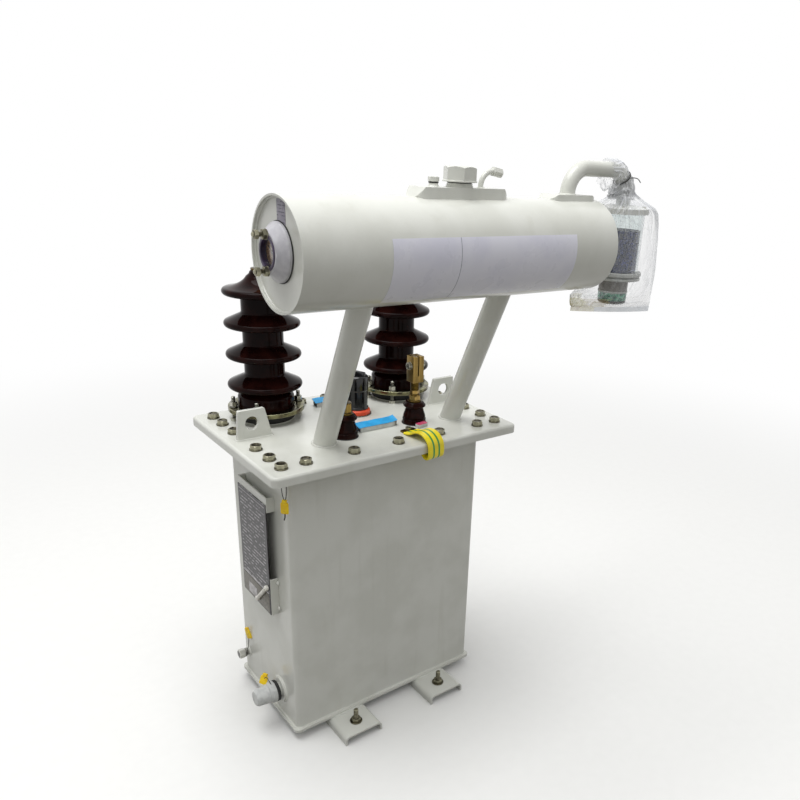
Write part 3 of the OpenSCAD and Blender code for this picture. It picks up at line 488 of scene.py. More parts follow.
# Blown polyethylene: nearly clear, with sharp glints, and milky on its creases, where the white paints a
# glint.
FILM = BlownFilm("blown_polyethylene_film", "#f2f4f8", "#dfe2e9", 34.0, 0.1, 0.04, 26.0, 0.3,
                 clear=0.05, milky=0.62)
# The film where it is gathered and doubled: greyer, and hardly clear.
GATHERED_FILM = BlownFilm("gathered_polyethylene_film", "#eceef1", "#b9babe", 11.0, 0.14, 0.05, 14.0, 0.4,
                          clear=0.4, milky=0.95)
# The heat weld along its lower edge: two films in one, flat and faintly blue.
WELDED_FILM = BlownFilm("heat_welded_polyethylene_film", "#e1e7ee", "#d2dae4", 20.0, 0.18, 0.05, 12.0, 0.2,
                        clear=0.35, milky=0.65)
# The film low on the left, crushed, with a yellow brown tint that is a painted reflection of its
# surroundings.
REFLECTION_TINTED_FILM = BlownFilm("stained_polyethylene_film", "#f3efc6", "#c4ad7c", 18.0, 0.12, 0.05, 14.0, 0.4,
                         clear=0.3, milky=0.85)
# Extruded soft PVC: a full yellow with green stripes, and a waxy sheen.
STRAP_PVC = StripedPvc("extruded_striped_pvc", "#fbe71c", "#f1da12", 18.0, 0.34, 0.08, 4.0, 0.06)
# Printed card behind clear film: strong blue, even.
BLUE_CARD = Finish("printed_blue_card", "#2aa0dc", "#2092cc", 16.0, 0.38, 0.08, 3.0, 0.03)
# The same card in pink.
PINK_CARD = Finish("printed_pink_card", "#cf4f72", "#c04065", 12.0, 0.4, 0.08, 3.0, 0.03)
# Moulded polystyrene block under the cards: off white, a little grey with handling.
CARRIER = Finish("moulded_white_polystyrene", "#c9cbc8", "#b5b8b3", 14.0, 0.45, 0.1, 3.0, 0.05)
# Cut vinyl film: whiter and smoother than the paint that it covers.
VINYL = Finish("cut_white_vinyl", "#e2e2ec", "#d9d9e6", 60.0, 0.28, 0.05, 8.0, 0.02)
# Where two sheets of it meet: a thin grey line.
VINYL_LINE = Finish("vinyl_cut_line", "#9a9aa6", "#8c8c98", 20.0, 0.4, 0.05, 8.0, 0.02)
# Paper with bare printed rules, gone violet grey in the weather.
GREY_LABEL = RuledPlate("weathered_paper_label", "#9a96a2", "#8a8692", 6.0, 0.55, 0.1, 3.0, 0.06,
                        rule="#5d5966", row_mm=4.5)
# Etched aluminium, filled dark: the rules stand out pale, and the eye sees a fine dull grain.
ETCHED = RuledPlate("etched_aluminium_plate", "#3b393c", "#2c2a2d", 6.0, 0.4, 0.1, 2.0, 0.03,
                    rule="#b6b3b7", row_mm=7.6, ruled_y=(0.0083, 0.1203))
# Its fields without a filling: pale metal, clouded by handling. Its panel is half filled.
ETCHED_FIELD = Finish("etched_plate_field", "#d3d0d2", "#aaa7a9", 9.0, 0.45, 0.08, 2.0, 0.03)
ETCHED_PANEL = Finish("etched_plate_panel", "#6f6a60", "#57534b", 6.0, 0.45, 0.08, 2.0, 0.03)
# Aluminium paint on the drain's cap: a flat light silver.
SILVER_PAINT = Finish("sprayed_aluminium_paint", "#cccecc", "#bdbfbe", 10.0, 0.4, 0.08, 2.0, 0.05)
# Moulded polypropylene: the seals' warm yellow.
SEAL = Finish("moulded_yellow_polypropylene", "#ffdb12", "#f3c60c", 10.0, 0.42, 0.08, 3.0, 0.05)
# Drawn and twisted steel wire, dull and dark.
WIRE = Finish("drawn_steel_wire", "#4a4a48", "#343432", 4.0, 0.45, 0.1, 0.8, 0.04, metallic=1.0)
# Printed card of the gauge's dial: brown, with darker marks.
DIAL = Finish("printed_brown_dial", "#b08a6a", "#94714f", 8.0, 0.5, 0.08, 2.0, 0.02)
DIAL_MARK = Finish("printed_dial_mark", "#3a241c", "#4d3226", 4.0, 0.5, 0.08, 2.0, 0.02)
# Tinted polycarbonate with oil behind it: dark green, with pale green clouds that are painted glints.
GREEN_CUP = Finish("moulded_green_polycarbonate", "#2f6a5c", "#7fcbaa", 7.0, 0.16, 0.06, 3.0, 0.05)
# Moulded polypropylene in grey: dull, a little waxy.
GREY_MOULDING = Finish("moulded_grey_polypropylene", "#8f8c88", "#7e7b77", 12.0, 0.42, 0.08, 3.0, 0.05)


# Outlines and forms
class Way(Enum):
    """The direction that a round or six-sided form stands in."""

    UP = (0.0, 0.0, 1.0)
    DOWN = (0.0, 0.0, -1.0)
    LEFT = (-1.0, 0.0, 0.0)
    RIGHT = (1.0, 0.0, 0.0)

    def at(self, x: float, y: float, z: float) -> Matrix:
        """Returns the placing of a form that stands this way on a point."""
        return standing(Vector((x, y, z)), Vector(self.value))


class Side(Enum):
    """The left or right one of a pair."""

    LEFT = -1
    RIGHT = 1

    @property
    def word(self) -> str:
        """Returns the side's name, as the CAD nodes spell it."""
        return self.name.lower()


def standing(foot: Vector, way: Vector) -> Matrix:
    """Places a form whose own Z points along a direction, and whose X stays level.

    Args:
        foot: Where the form's origin goes.
        way: The direction of its axis.

    Returns:
        The placing.
    """
    axis = way.normalized()
    side = Vector((1.0, 0.0, 0.0)) if abs(axis.x) < 0.9 else Vector((0.0, math.copysign(1.0, axis.x), 0.0))
    side = (side - axis * side.dot(axis)).normalized()
    return Matrix.Translation(foot) @ Matrix((side, axis.cross(side), axis)).transposed().to_4x4()


def spin(angle: float) -> Matrix:
    """Returns a turn about Z, in radians."""
    return Matrix.Rotation(angle, 4, "Z")


def slide(x: float, y: float, z: float) -> Matrix:
    """Returns a move, in millimetres."""
    return Matrix.Translation((x, y, z))


def clamped(value: float) -> float:
    """Keeps a value between 0 and 1."""
    return min(1.0, max(0.0, value))


def angles(count: int) -> list[float]:
    """Divides a full turn, in radians."""
    return [math.tau * i / count for i in range(count)]


def pulled(start: Vector, pull: Vector, end: Vector, steps: int) -> Outline:
    """Returns a curve between two points that is pulled towards a third."""
    shares = [i / steps for i in range(steps + 1)]
    return [start * (1 - t) ** 2 + pull * 2 * t * (1 - t) + end * t**2 for t in shares]


def show(name: str, data: bpy.types.ID) -> bpy.types.Object:
    """Makes an object of a mesh, lamp or camera, and links it into the scene.

    Args:
        name: The object's name.
        data: The mesh, lamp or camera.

    Returns:
        The new object.
    """
    made = bpy.data.objects.new(name, data)
    bpy.context.scene.collection.objects.link(made)
    return made


def soften(outline: Sequence[Span], radius: float, steps: int = 4) -> Outline:
    """Rounds each inner corner of an open outline.

    Args:
        outline: The corners in turn.
        radius: How far along each side the rounding starts.
        steps: How many faces each rounding gets.

    Returns:
        The rounded outline.
    """
    points = [Vector(p) for p in outline]
    done = [points[0]]
    for a, b, c in zip(points, points[1:], points[2:]):
        back, on = a - b, c - b
        cut = min(radius, 0.45 * back.length, 0.45 * on.length)
        done += pulled(b + back.normalized() * cut, b, b + on.normalized() * cut, steps)
    return [*done, points[-1]]


def loop_of(outline: Sequence[Span], radius: float, steps: int = 4) -> Outline:
    """Rounds every corner of a closed outline."""
    points = [outline[-1], *outline, outline[0]]
    return soften(points, radius, steps)[1:-1]


def rounded(width: float, depth: float, radius: float, steps: int = 5) -> Outline:
    """Returns a rectangle with round corners, about its middle."""
    x, y = width / 2, depth / 2
    return loop_of([(-x, -y), (x, -y), (x, y), (-x, y)], radius, steps)


def inset(outline: Outline, by: float) -> Outline:
    """Moves a closed outline, which runs anticlockwise, inwards.

    Args:
        outline: The outline.
        by: How far it moves, in millimetres.

    Returns:
        The moved outline.
    """
    count = len(outline)
    moved = []
    for i, point in enumerate(outline):
        before, after = point - outline[i - 1], outline[(i + 1) % count] - point
        along = (before.normalized() + after.normalized()).normalized()
        moved.append(point + Vector((-along.y, along.x)) * by)
    return moved


def spaced(path: Sequence[Vector], step: float, closed: bool = False) -> list[Vector]:
    """Divides a path into even steps.

    Args:
        path: The corners of the path.
        step: The longest step, in millimetres.
        closed: Whether the path returns to its start.

    Returns:
        The points along it.
    """
    corners = [*path, path[0]] if closed else list(path)
    points = []
    for a, b in zip(corners, corners[1:]):
        count = max(1, math.ceil((b - a).length / step))
        points += [a.lerp(b, i / count) for i in range(count)]
    return points if closed else [*points, corners[-1]]


def circle(count: int, radius: float) -> Outline:
    """Returns the points of a circle."""
    return [Vector((radius * math.cos(a), radius * math.sin(a))) for a in angles(count)]


def hoop(at: Matrix, radius: float, count: int) -> list[Vector]:
    """Returns the points of a circle about a placing's axis."""
    return [at @ Vector((radius * c.x, radius * c.y, 0.0)) for c in circle(count, 1.0)]


def smoothed(path: Sequence[Vector], parts: int) -> list[Vector]:
    """Runs a smooth curve through the points of a path.

    Args:
        path: Points that the curve goes through.
        parts: How many steps each stretch is cut into.

    Returns:
        The points of the curve.
    """
    ends = [path[0] * 2 - path[1], *path, path[-1] * 2 - path[-2]]
    curve = []
    for a, b, c, d in zip(ends, ends[1:], ends[2:], ends[3:]):
        for i in range(parts):
            t = i / parts
            curve.append((b * 2 + (c - a) * t + (a * 2 - b * 5 + c * 4 - d) * t**2
                          + (b * 3 - a - c * 3 + d) * t**3) / 2)
    return [*curve, path[-1]]


class Form:
    """A mesh in the making, in millimetres from the tank's centre line."""

    def __init__(self) -> None:
        """Starts an empty form."""
        self.points: list[Vector] = []
        self.faces: list[tuple[int, ...]] = []
        self.parts: list[int] = []
        self.across: list[float] = []

    def skin(self, rings: Sequence[Sequence[Vector]], part: int = 0, closed: bool = True,
             loop: bool = False, ends: bool = True) -> None:
        """Joins rings of points, in turn, with four-sided faces.

        Args:
            rings: Rings of one length.
            part: Which of the piece's finishes the faces take.
            closed: Whether each ring joins its own last point to its first.
            loop: Whether the last ring joins the first.
            ends: Whether the first and last rings are filled.
        """
        first, n, rows = len(self.points), len(rings[0]), len(rings)
        for ring in rings:
            self.points += ring
            self.across += [i / max(1, n - 1) for i in range(n)]
        for j in range(rows if loop else rows - 1):
            for i in range(n if closed else n - 1):
                a, b = first + j * n + i, first + j * n + (i + 1) % n
                c, d = first + (j + 1) % rows * n + (i + 1) % n, first + (j + 1) % rows * n + i
                self.faces.append((a, b, c, d))
                self.parts.append(part)
        if ends and closed and not loop:
            for j in (0, rows - 1):
                self.faces.append(tuple(first + j * n + i for i in range(n)))
                self.parts.append(part)

    def turned(self, at: Matrix, outline: Sequence[Span | Vector], count: int = 64,
               part: int = 0, loop: bool = False) -> None:
        """Turns an outline of radius and height about the placing's axis.

        Args:
            at: The placing.
            outline: Radius and height of each point.
            count: Faces round the axis.
            part: Which finish it takes.
            loop: Whether the outline closes on itself, as a ring's does.
        """
        round_it = circle(count, 1.0)
        rings = [[at @ Vector((r * c.x, r * c.y, z)) for c in round_it] for r, z in outline]
        self.skin(rings, part, loop=loop)

    def disc(self, at: Matrix, radius: float, low: float, high: float, edge: float = 0.5, part: int = 0,
             count: int = 40) -> None:
        """Adds a washer or other disc with eased edges.

        Args:
            at: The placing.
            radius: Its radius.
            low: Height of its underside.
            high: Height of its top.
            edge: Radius of its edges.
            part: Which finish it takes.
            count: Faces round the axis.
        """
        inner = radius * 0.4
        line = [(inner, low), (radius, low), (radius, high), (inner, high)]
        self.turned(at, soften(line, edge, 3), count, part)

    def ring(self, at: Matrix, inner: float, outer: float, low: float, high: float, edge: float = 0.6,
             part: int = 0, count: int = 96) -> None:
        """Adds a flat ring with a bore and eased edges."""
        outline = loop_of([(inner, low), (outer, low), (outer, high), (inner, high)], edge, 3)
        self.turned(at, outline, count, part, loop=True)

    def hexagon(self, at: Matrix, across: float, low: float, high: float, part: int = 0, dish: float = 0.0,
                both: bool = False, bore: float = 0.0) -> None:
        """Adds a hexagon head or nut whose corners are cut back by a cone.

        Args:
            at: The placing.
            across: Width across its flats.
            low: Height of its foot.
            high: Height of its top.
            part: Which finish it takes.
            dish: Depth of the hollow in its top.
            both: Whether its foot is cut back as its top is.
            bore: Radius of a hole in its top, or 0.
        """
        count, flat = 48, across / 2 * 0.95
        steps = angles(count)
        wide = [across / 2 / math.cos((a % (math.pi / 3)) - math.pi / 6) for a in steps]
        cut = [(r - flat) * math.tan(math.radians(30)) for r in wide]

        def ring(radii: Sequence[float], heights: Sequence[float]) -> list[Vector]:
            """Returns one ring of the hexagon."""
            return [at @ Vector((r * math.cos(a), r * math.sin(a), z))
                    for a, r, z in zip(steps, radii, heights)]

        flats = [flat] * count
        rings = [ring(flats, [low] * count)] if both else []
        rings += [ring(wide, [low + c * both for c in cut]), ring(wide, [high - c for c in cut]),
                  ring(flats, [high] * count)]
        if dish:
            rings += [ring([flat * s] * count, [high - d] * count)
                      for s, d in ((0.84, 0.0), (0.74, dish), (0.3, dish))]
        if bore:
            rings += [ring([bore * s] * count, [high - d] * count)
                      for s, d in ((1.15, 0.0), (1.0, 0.8), (1.0, 4.0))]
        self.skin(rings, part)

    def thread(self, at: Matrix, radius: float, low: float, high: float, part: int = 0,
               pitch: float = 1.75) -> None:
        """Adds a threaded stud with a chamfered tip.

        Args:
            at: The placing.
            radius: Radius over the thread.
            low: Height of its foot.
            high: Height of its tip.
            part: Which finish it takes.
            pitch: Height of one turn of the thread.
        """
        depth = pitch * 0.5
        count = max(1, int((high - low - depth) / pitch))
        outline = [(radius, low)]
        for i in range(count):
            z = low + i * pitch
            outline += [(radius, z + pitch * 0.15), (radius - depth, z + pitch * 0.5),
                        (radius, z + pitch * 0.85)]
        outline += [(radius, high - depth * 1.4), (radius - depth * 1.2, high)]
        self.turned(at, outline, 20, part)

    def slab(self, at: Matrix, outline: Outline, low: float, high: float, edge: float = 0.5,
             part: int = 0) -> None:
        """Adds a plate of any outline with eased edges.

        Args:
            at: The placing.
            outline: Its closed outline, anticlockwise.
            low: Height of its underside.
            high: Height of its top.
            edge: Radius of its edges.
            part: Which finish it takes.
        """
        turns = [(1.0, 0.0), (0.3, 0.3), (0.0, 1.0)]
        rings = [(edge * i, low + edge * z) for i, z in turns]
        rings += [(edge * i, high - edge * z) for i, z in turns[::-1]]
        self.skin([[at @ Vector((p.x, p.y, z)) for p in inset(outline, by)] for by, z in rings], part)

    def swept(self, path: Sequence[Vector], section: Callable[[float], Outline], part: int = 0,
              side: Vector | None = None) -> None:
        """Sweeps a section along a path without twisting it.

        Args:
            path: Points of the path.
            section: Gives the section at a distance along the path.
            part: Which finish it takes.
            side: Where the section's own X points at the start.
        """
        way = (path[1] - path[0]).normalized()
        across = side or way.orthogonal().normalized()
        gone, rings = 0.0, []
        for i, point in enumerate(path):
            here = (path[min(i + 1, len(path) - 1)] - path[max(i - 1, 0)]).normalized()
            across = (way.rotation_difference(here) @ across).normalized()
            across = (across - here * across.dot(here)).normalized()
            way, lift = here, here.cross(across)
            gone += (point - path[i - 1]).length if i else 0.0
            rings.append([point + across * p.x + lift * p.y for p in section(gone)])
        self.skin(rings, part)

    def tube(self, path: Sequence[Vector], radius: float, part: int = 0, count: int = 12) -> None:
        """Sweeps a round section along a path."""
        self.swept(path, lambda gone: circle(count, radius), part)

    def weld(self, path: Sequence[Vector], size: float, closed: bool = True, part: int = 0) -> None:
        """Adds a weld bead along a path. Real ripples are 1 to 2 mm apart, drawn at 5 mm so that they show.

        Args:
            path: Where the two surfaces meet.
            size: Radius of the bead.
            closed: Whether the path returns to its start.
            part: Which finish it takes.
        """
        points = spaced(path, 1.6, closed)
        if closed:
            points.append(points[0])

        def pool(gone: float) -> Outline:
            """Returns the bead's section, which swells at each ripple and wanders a little."""
            ripple = 0.06 * abs(math.sin(math.pi * gone / 5.0))
            return circle(10, size * (0.94 + ripple + 0.08 * noise.noise(Vector((gone / 17, size, 0)))))

        self.swept(points, pool, part)

    def piece(self, name: str, finishes: Sequence[Finish], slot: str, *stands_for: str,
              crease: float = 35.0) -> bpy.types.Object:
        """Makes the form a piece of the scene that rides on the part's body.

        Args:
            name: The piece's name.
            finishes: Its finishes, by part number.
            slot: The record's material slot; not used.
            *stands_for: CAD nodes that it replaces.
            crease: Faces that meet at more than this angle keep a sharp edge, in degrees.

        Returns:
            The new object.
        """
        mesh = bpy.data.meshes.new(name)
        mesh.from_pydata([tuple(MIDDLE + p * MM) for p in self.points], [], self.faces)
        for finish in finishes:
            mesh.materials.append(finish.material())
        mesh.polygons.foreach_set("material_index", self.parts)
        layer = mesh.uv_layers.new(name="across")
        for corner in mesh.loops:
            layer.data[corner.index].uv = (self.across[corner.vertex_index], 0.0)
        work = bmesh.new()
        work.from_mesh(mesh)
        bmesh.ops.recalc_face_normals(work, faces=work.faces)
        work.to_mesh(mesh)
        work.free()
        mesh.polygons.foreach_set("use_smooth", [True] * len(mesh.polygons))
        mesh.set_sharp_from_angle(angle=math.radians(crease))
        made = show(name, mesh)
        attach(made, BODY)
        if stands_for:
            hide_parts(*stands_for)
        log.info("%s: %d faces", name, len(mesh.polygons))
        return made


def dress_node(node: str, finish: Finish, edge: float = 0.0) -> None:
    """Gives a CAD node its finish, and eases its sharp edges.

    Args:
        node: The node's name.
        finish: What it is finished in.
        edge: Width of the eased edge in millimetres, or 0.
    """
    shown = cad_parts[node]
    mesh = shown.data
    mesh.materials.clear()
    mesh.materials.append(finish.material())
    if "custom_normal" in mesh.attributes:
        mesh.attributes.remove(mesh.attributes["custom_normal"])
    mesh.polygons.foreach_set("use_smooth", [True] * len(mesh.polygons))
    mesh.set_sharp_from_angle(angle=math.radians(32))
    if edge:
        joined = shown.modifiers.new("joined", "WELD")
        joined.merge_threshold = 0.00002
        eased = shown.modifiers.new("eased", "BEVEL")
        eased.width, eased.segments = edge * MM, 2
        eased.limit_method, eased.angle_limit = "ANGLE", math.radians(38)
        shown.modifiers.new("even", "WEIGHTED_NORMAL").keep_sharp = False
    log.info("%s: CAD node in %s", node, finish.name)


# Studio
@dataclass
class Studio:
    """The camera at the photograph's angle, soft light from above, and a pale floor."""

    place: Vector = field(default_factory=lambda: Vector((-0.87104, -1.18638, 1.13529)))
    right: Vector = field(default_factory=lambda: Vector((0.77434871, -0.63039006, 0.05470324)))
    above: Vector = field(default_factory=lambda: Vector((0.19483455, 0.31979073, 0.92723966)))
    focal_px: float = 740.31
    centre_px: Span = (475.52, 453.63)
    image_px: float = 800.0
    sky_low: float = 0.42
    sky_rise: float = 0.5
    lamp_place: Vector = field(default_factory=lambda: Vector((-0.6, 0.1, 3.2)))
    lamp_aim: Vector = field(default_factory=lambda: Vector((0.0, 0.0, 0.6)))
    lamp_side: float = 1.8
    lamp_watts: float = 50.0
    floor_seen: str = "#f4f4f2"
    floor_tone: str = "#f0f0ee"
    floor_bounce: str = "#7c7a74"
    floor_grain: float = 40.0
    floor_r: float = 14.0
    floor_z: float = -0.0005
    fade: Span = (1.1, 3.2)

    def camera(self) -> None:
        """Places the camera and makes it the scene's."""
        eye = bpy.data.cameras.new("camera")
        eye.sensor_width = 36.0
        eye.lens = self.focal_px / self.image_px * eye.sensor_width
        eye.shift_x = (self.image_px / 2 - self.centre_px[0]) / self.image_px
        eye.shift_y = (self.centre_px[1] - self.image_px / 2) / self.image_px
        eye.clip_start, eye.clip_end = 0.05, 60.0
        shown = show("camera", eye)
        back = self.right.cross(self.above)
        turn = Matrix((self.right, self.above, back)).transposed().to_4x4()
        shown.matrix_world = Matrix.Translation(self.place) @ turn
        bpy.context.scene.camera = shown
        log.info("camera")

    def seen(self, tree: Tree) -> Socket:
        """Tells what the camera sees, straight, mirrored or through glass, from what only gives light.

        Args:
            tree: The node tree of the material or the world.

        Returns:
            1 for what the camera sees, and 0 for the rest.
        """
        rays = add(tree, "ShaderNodeLightPath").outputs
        either = rays["Is Camera Ray"]
        for kind in ("Is Glossy Ray", "Is Transmission Ray"):
            either = add(tree, "ShaderNodeMath", {0: either, 1: rays[kind]}, operation="MAXIMUM").outputs[0]
        return either

    def sky(self) -> None:
        """Makes the world: white to look at, and a soft dome that is brighter overhead."""
        world = bpy.data.worlds.new("studio")
        bpy.context.scene.world = world
        world.use_nodes = True
        tree = world.node_tree
        tree.nodes.clear()
        way = add(tree, "ShaderNodeTexCoord").outputs["Generated"]
        up = add(tree, "ShaderNodeSeparateXYZ", {0: way}).outputs[2]
        glow = add(tree, "ShaderNodeMapRange",
                   {"Value": up, "To Min": self.sky_low, "To Max": self.sky_low + self.sky_rise})
        dome = add(tree, "ShaderNodeBackground", {"Color": WHITE, "Strength": glow.outputs[0]})
        white = add(tree, "ShaderNodeBackground", {"Color": WHITE, "Strength": 1.0})
        mixed = add(tree, "ShaderNodeMixShader",
                    {0: self.seen(tree), 1: dome.outputs[0], 2: white.outputs[0]})
        add(tree, "ShaderNodeOutputWorld", {"Surface": mixed.outputs[0]})
        log.info("sky")

    def lamp(self) -> None:
        """Hangs one large soft lamp that faces the middle of the part."""
        light = bpy.data.lights.new("overhead", "AREA")
        light.size, light.energy = self.lamp_side, self.lamp_watts
        show("overhead", light).matrix_world = standing(self.lamp_place, self.lamp_place - self.lamp_aim)
        log.info("lamp")

    def floor(self) -> None:
        """Lays a wide pale floor that fades into the white behind it."""
        paint = bpy.data.materials.new("painted_studio_floor")
        paint.use_nodes = True
        tree = paint.node_tree
        tree.nodes.clear()
        place = add(tree, "ShaderNodeTexCoord").outputs["Object"]
        seen = self.seen(tree)
        grain = add(tree, "ShaderNodeTexNoise", {"Vector": place, "Scale": self.floor_grain, "Detail": 3.0})
        one, other = hex_to_linear(self.floor_seen), hex_to_linear(self.floor_tone)
        pale = add(tree, "ShaderNodeMix", {0: grain.outputs[0], 6: one, 7: other},
                   data_type="RGBA").outputs[2]
        colour = add(tree, "ShaderNodeMix", {0: seen, 6: hex_to_linear(self.floor_bounce), 7: pale},
                     data_type="RGBA").outputs[2]
        matt = add(tree, "ShaderNodeBsdfDiffuse", {"Color": colour})
        far = add(tree, "ShaderNodeVectorMath", {0: place}, operation="LENGTH").outputs["Value"]
        near, gone = self.fade
        fade = add(tree, "ShaderNodeMapRange", {"Value": far, "From Min": near, "From Max": gone},
                   interpolation_type="SMOOTHSTEP").outputs[0]
        shown = add(tree, "ShaderNodeMath", {0: fade, 1: seen}, operation="MULTIPLY").outputs[0]
        white = add(tree, "ShaderNodeEmission", {"Color": WHITE, "Strength": 1.0})
        mixed = add(tree, "ShaderNodeMixShader", {0: shown, 1: matt.outputs[0], 2: white.outputs[0]})
        add(tree, "ShaderNodeOutputMaterial", {"Surface": mixed.outputs[0]})
        mesh = bpy.data.meshes.new("floor")
        rim = circle(96, self.floor_r)
        mesh.from_pydata([(p.x, p.y, self.floor_z) for p in rim], [], [tuple(range(len(rim)))])
        mesh.materials.append(paint)
        show("floor", mesh)
        log.info("floor")

    def light(self) -> None:
        """Sets the plain view and makes the sky, the lamp and the floor."""
        bpy.context.scene.view_settings.view_transform = "Standard"
        self.sky()
        self.lamp()
        self.floor()


# Tank
@dataclass
class Tank:
    """The tank on its two channels, with its welds, gasket and earthing studs."""

    width: float = 440.0
    depth: float = 258.0
    corner: float = 10.0
    plate_top: float = 26.0
    plate_low: float = 20.0
    lip: float = 6.0
    foot_x: float = 107.0
    foot_flat: float = 30.0
    stud_y: float = -170.0

    def wall_line(self, z: float, out: float = 0.0) -> list[Vector]:
        """Returns the line round the tank's walls at a height."""
        line = rounded(self.width + 2 * out, self.depth + 2 * out, self.corner + out)
        return [Vector((p.x, p.y, z)) for p in line]

    def welds(self) -> None:
        """Adds the beads round the walls' foot and mouth and at the channels."""
        form = Form()
        form.weld(self.wall_line(self.plate_top), 2.2)
        form.weld(self.wall_line(FLANGE_LOW), 2.2)
        edge = self.depth / 2 + self.lip
        for x in (-self.foot_x, self.foot_x):
            for y in (-edge, edge):
                ends = [Vector((x + s * self.foot_flat, y, self.plate_low)) for s in (-1, 1)]
                form.weld(ends, 2.2, closed=False)
        form.piece("tank_weld_beads", [PAINT], "paint")

    def studs(self) -> None:
        """Adds the earthing studs with their washers and nuts in the channels' front holes."""
        form = Form()
        for x, turn in ((-self.foot_x, 0.3), (self.foot_x, 0.9)):
            at = Way.UP.at(x, self.stud_y, self.plate_low) @ spin(turn)
            form.disc(at, 13.0, 0.0, 2.0, 0.6)
            form.hexagon(at, 17.0, 2.0, 9.0, both=True)
            form.thread(at, 5.0, 9.0, 30.0)
            form.thread(at, 5.0, -12.0, -4.0)
            form.disc(at, 11.0, -6.0, -4.0, 0.5)
        form.piece("earthing_studs", [ZINC], "zinc", "foot_studs")

    def build(self) -> None:
        """Dresses the tank's nodes and adds its small pieces."""
        edges = {"foot_left": 0.0, "foot_right": 0.0, "bottom_plate": 0.8, "tank_walls": 0.0,
                 "tank_flange": 0.7}
        for node, edge in edges.items():
            dress_node(node, PAINT, edge)
        dress_node("cover_gasket", RUBBER)
        self.welds()
        self.studs()


# Cover
@dataclass
class Cover:
    """The pressed cover with its bolts and lifting lugs."""

    row_x: float = 241.0
    row_y: float = 153.0
    next_x: float = 194.0
    next_y: float = 106.0
    lug_bolt_y: float = 50.0
    right_back_y: float = 120.0
    back_x: tuple[float, ...] = (-49.0, 9.0, 67.0)
    bolt_af: float = 19.0
    nut_af: float = 17.0
    washer_r: float = 12.0
    thread_r: float = 5.0
    lug_outer: float = 253.0
    lug_wide: float = 70.0
    lug_high: float = 58.0
    lug_thick: float = 8.0
    lug_y: float = 8.0
    lug_hole: float = 13.0

    def bolt_places(self) -> list[Span]:
        """Works out where the cover bolts stand.

        Returns:
            The X and Y of each.
        """
        x, y, half = self.row_x, self.row_y, self.next_x / 2
        front = [(a, -y) for a in (-x, -self.next_x, -half, 0.0, half, self.next_x, x)]
        left = [(-x, b) for b in (-self.next_y, -self.lug_bolt_y, self.lug_bolt_y, self.next_y)]
        right = [(x, b) for b in (-self.next_y, -self.lug_bolt_y, self.lug_bolt_y, self.right_back_y)]
        back = [(a, y) for a in (-x, *self.back_x, x)]
        return front + left + right + back

    def bolts(self) -> None:
        """Adds the bolts: thick washers and dished heads above, nuts and thread ends below."""
        form = Form()
        turns = random.Random(11)
        for x, y in self.bolt_places():
            at = Way.UP.at(x, y, COVER_TOP) @ spin(turns.uniform(0, 1.05))
            form.disc(at, self.washer_r, 0.0, 2.5, 0.8)
            form.hexagon(at, self.bolt_af, 2.5, 10.0, dish=1.3)
            under = Way.DOWN.at(x, y, FLANGE_LOW) @ spin(turns.uniform(0, 1.05))
            form.disc(under, 11.0, 0.0, 2.0, 0.6, count=24)
            form.hexagon(under, self.nut_af, 2.0, 9.0)
            form.thread(under, self.thread_r, 9.0, 14.0)
        form.piece("cover_bolts_detailed", [ZINC], "zinc", "cover_bolts")

    def lug(self, side: Side) -> None:
        """Adds one lifting lug: a plate with round corners and an eased hole, welded at its foot.

        Args:
            side: Which lug it is.
        """
        s, inner = side.value, self.lug_outer - self.lug_wide
        corners = [(inner, 0.0), (self.lug_outer, 0.0), (self.lug_outer - 4.0, self.lug_high),
                   (inner + 14.0, self.lug_high)]
        hole = Vector((self.lug_outer - self.lug_wide / 2 + 5.0, self.lug_high / 2 + 2.0))
        edge = loop_of(corners, 3.0, 4)
        count = 120
        outer = [ray_to(edge, hole, a) for a in angles(count)]
        inside = [hole + Vector((math.cos(a), math.sin(a))) * self.lug_hole for a in angles(count)]
        half, ease = self.lug_thick / 2, 1.0

        def ring(line: Outline, grow: float, y: float) -> list[Vector]:
            """Returns one ring of the lug, grown from the hole's centre."""
            return [Vector((s * (hole.x + (p.x - hole.x) * grow), self.lug_y + y, COVER_TOP + hole.y
                            + (p.y - hole.y) * grow)) for p in line]

        rings = [ring(inside, 1.0, -half + ease), ring(inside, 1.08, -half), ring(outer, 0.975, -half),
                 ring(outer, 1.0, -half + ease), ring(outer, 1.0, half - ease), ring(outer, 0.975, half),
                 ring(inside, 1.08, half), ring(inside, 1.0, half - ease)]
        form = Form()
        form.skin(rings, loop=True)
        foot = [Vector((s * x, self.lug_y + y, COVER_TOP)) for x, y in
                ((inner, -half), (self.lug_outer, -half), (self.lug_outer, half), (inner, half))]
        form.weld(foot, 2.4)
        form.piece(f"lifting_lug_{side.word}_welded", [PAINT], "paint", f"lifting_lug_{side.word}")

    def build(self) -> None:
        """Dresses the cover and adds its bolts and lugs."""
        dress_node("cover_plate", PAINT)
        self.bolts()
        for side in Side:
            self.lug(side)


def ray_to(outline: Outline, start: Vector, angle: float) -> Vector:
    """Finds where a ray from inside a closed outline meets it.

    Args:
        outline: The closed outline.
        start: A point inside it.
        angle: The ray's direction, in radians.

    Returns:
        The point on the outline.
    """
    way = Vector((math.cos(angle), math.sin(angle)))
    for i, b in enumerate(outline):
        a = outline[i - 1]
        side = b - a
        turn = way.x * side.y - way.y * side.x
        if abs(turn) > 1e-9:
            gap = a - start
            far = (gap.x * side.y - gap.y * side.x) / turn
            along = (gap.x * way.y - gap.y * way.x) / turn
            if far > 0 and -1e-6 <= along <= 1 + 1e-6:
                return start + way * far
    return start


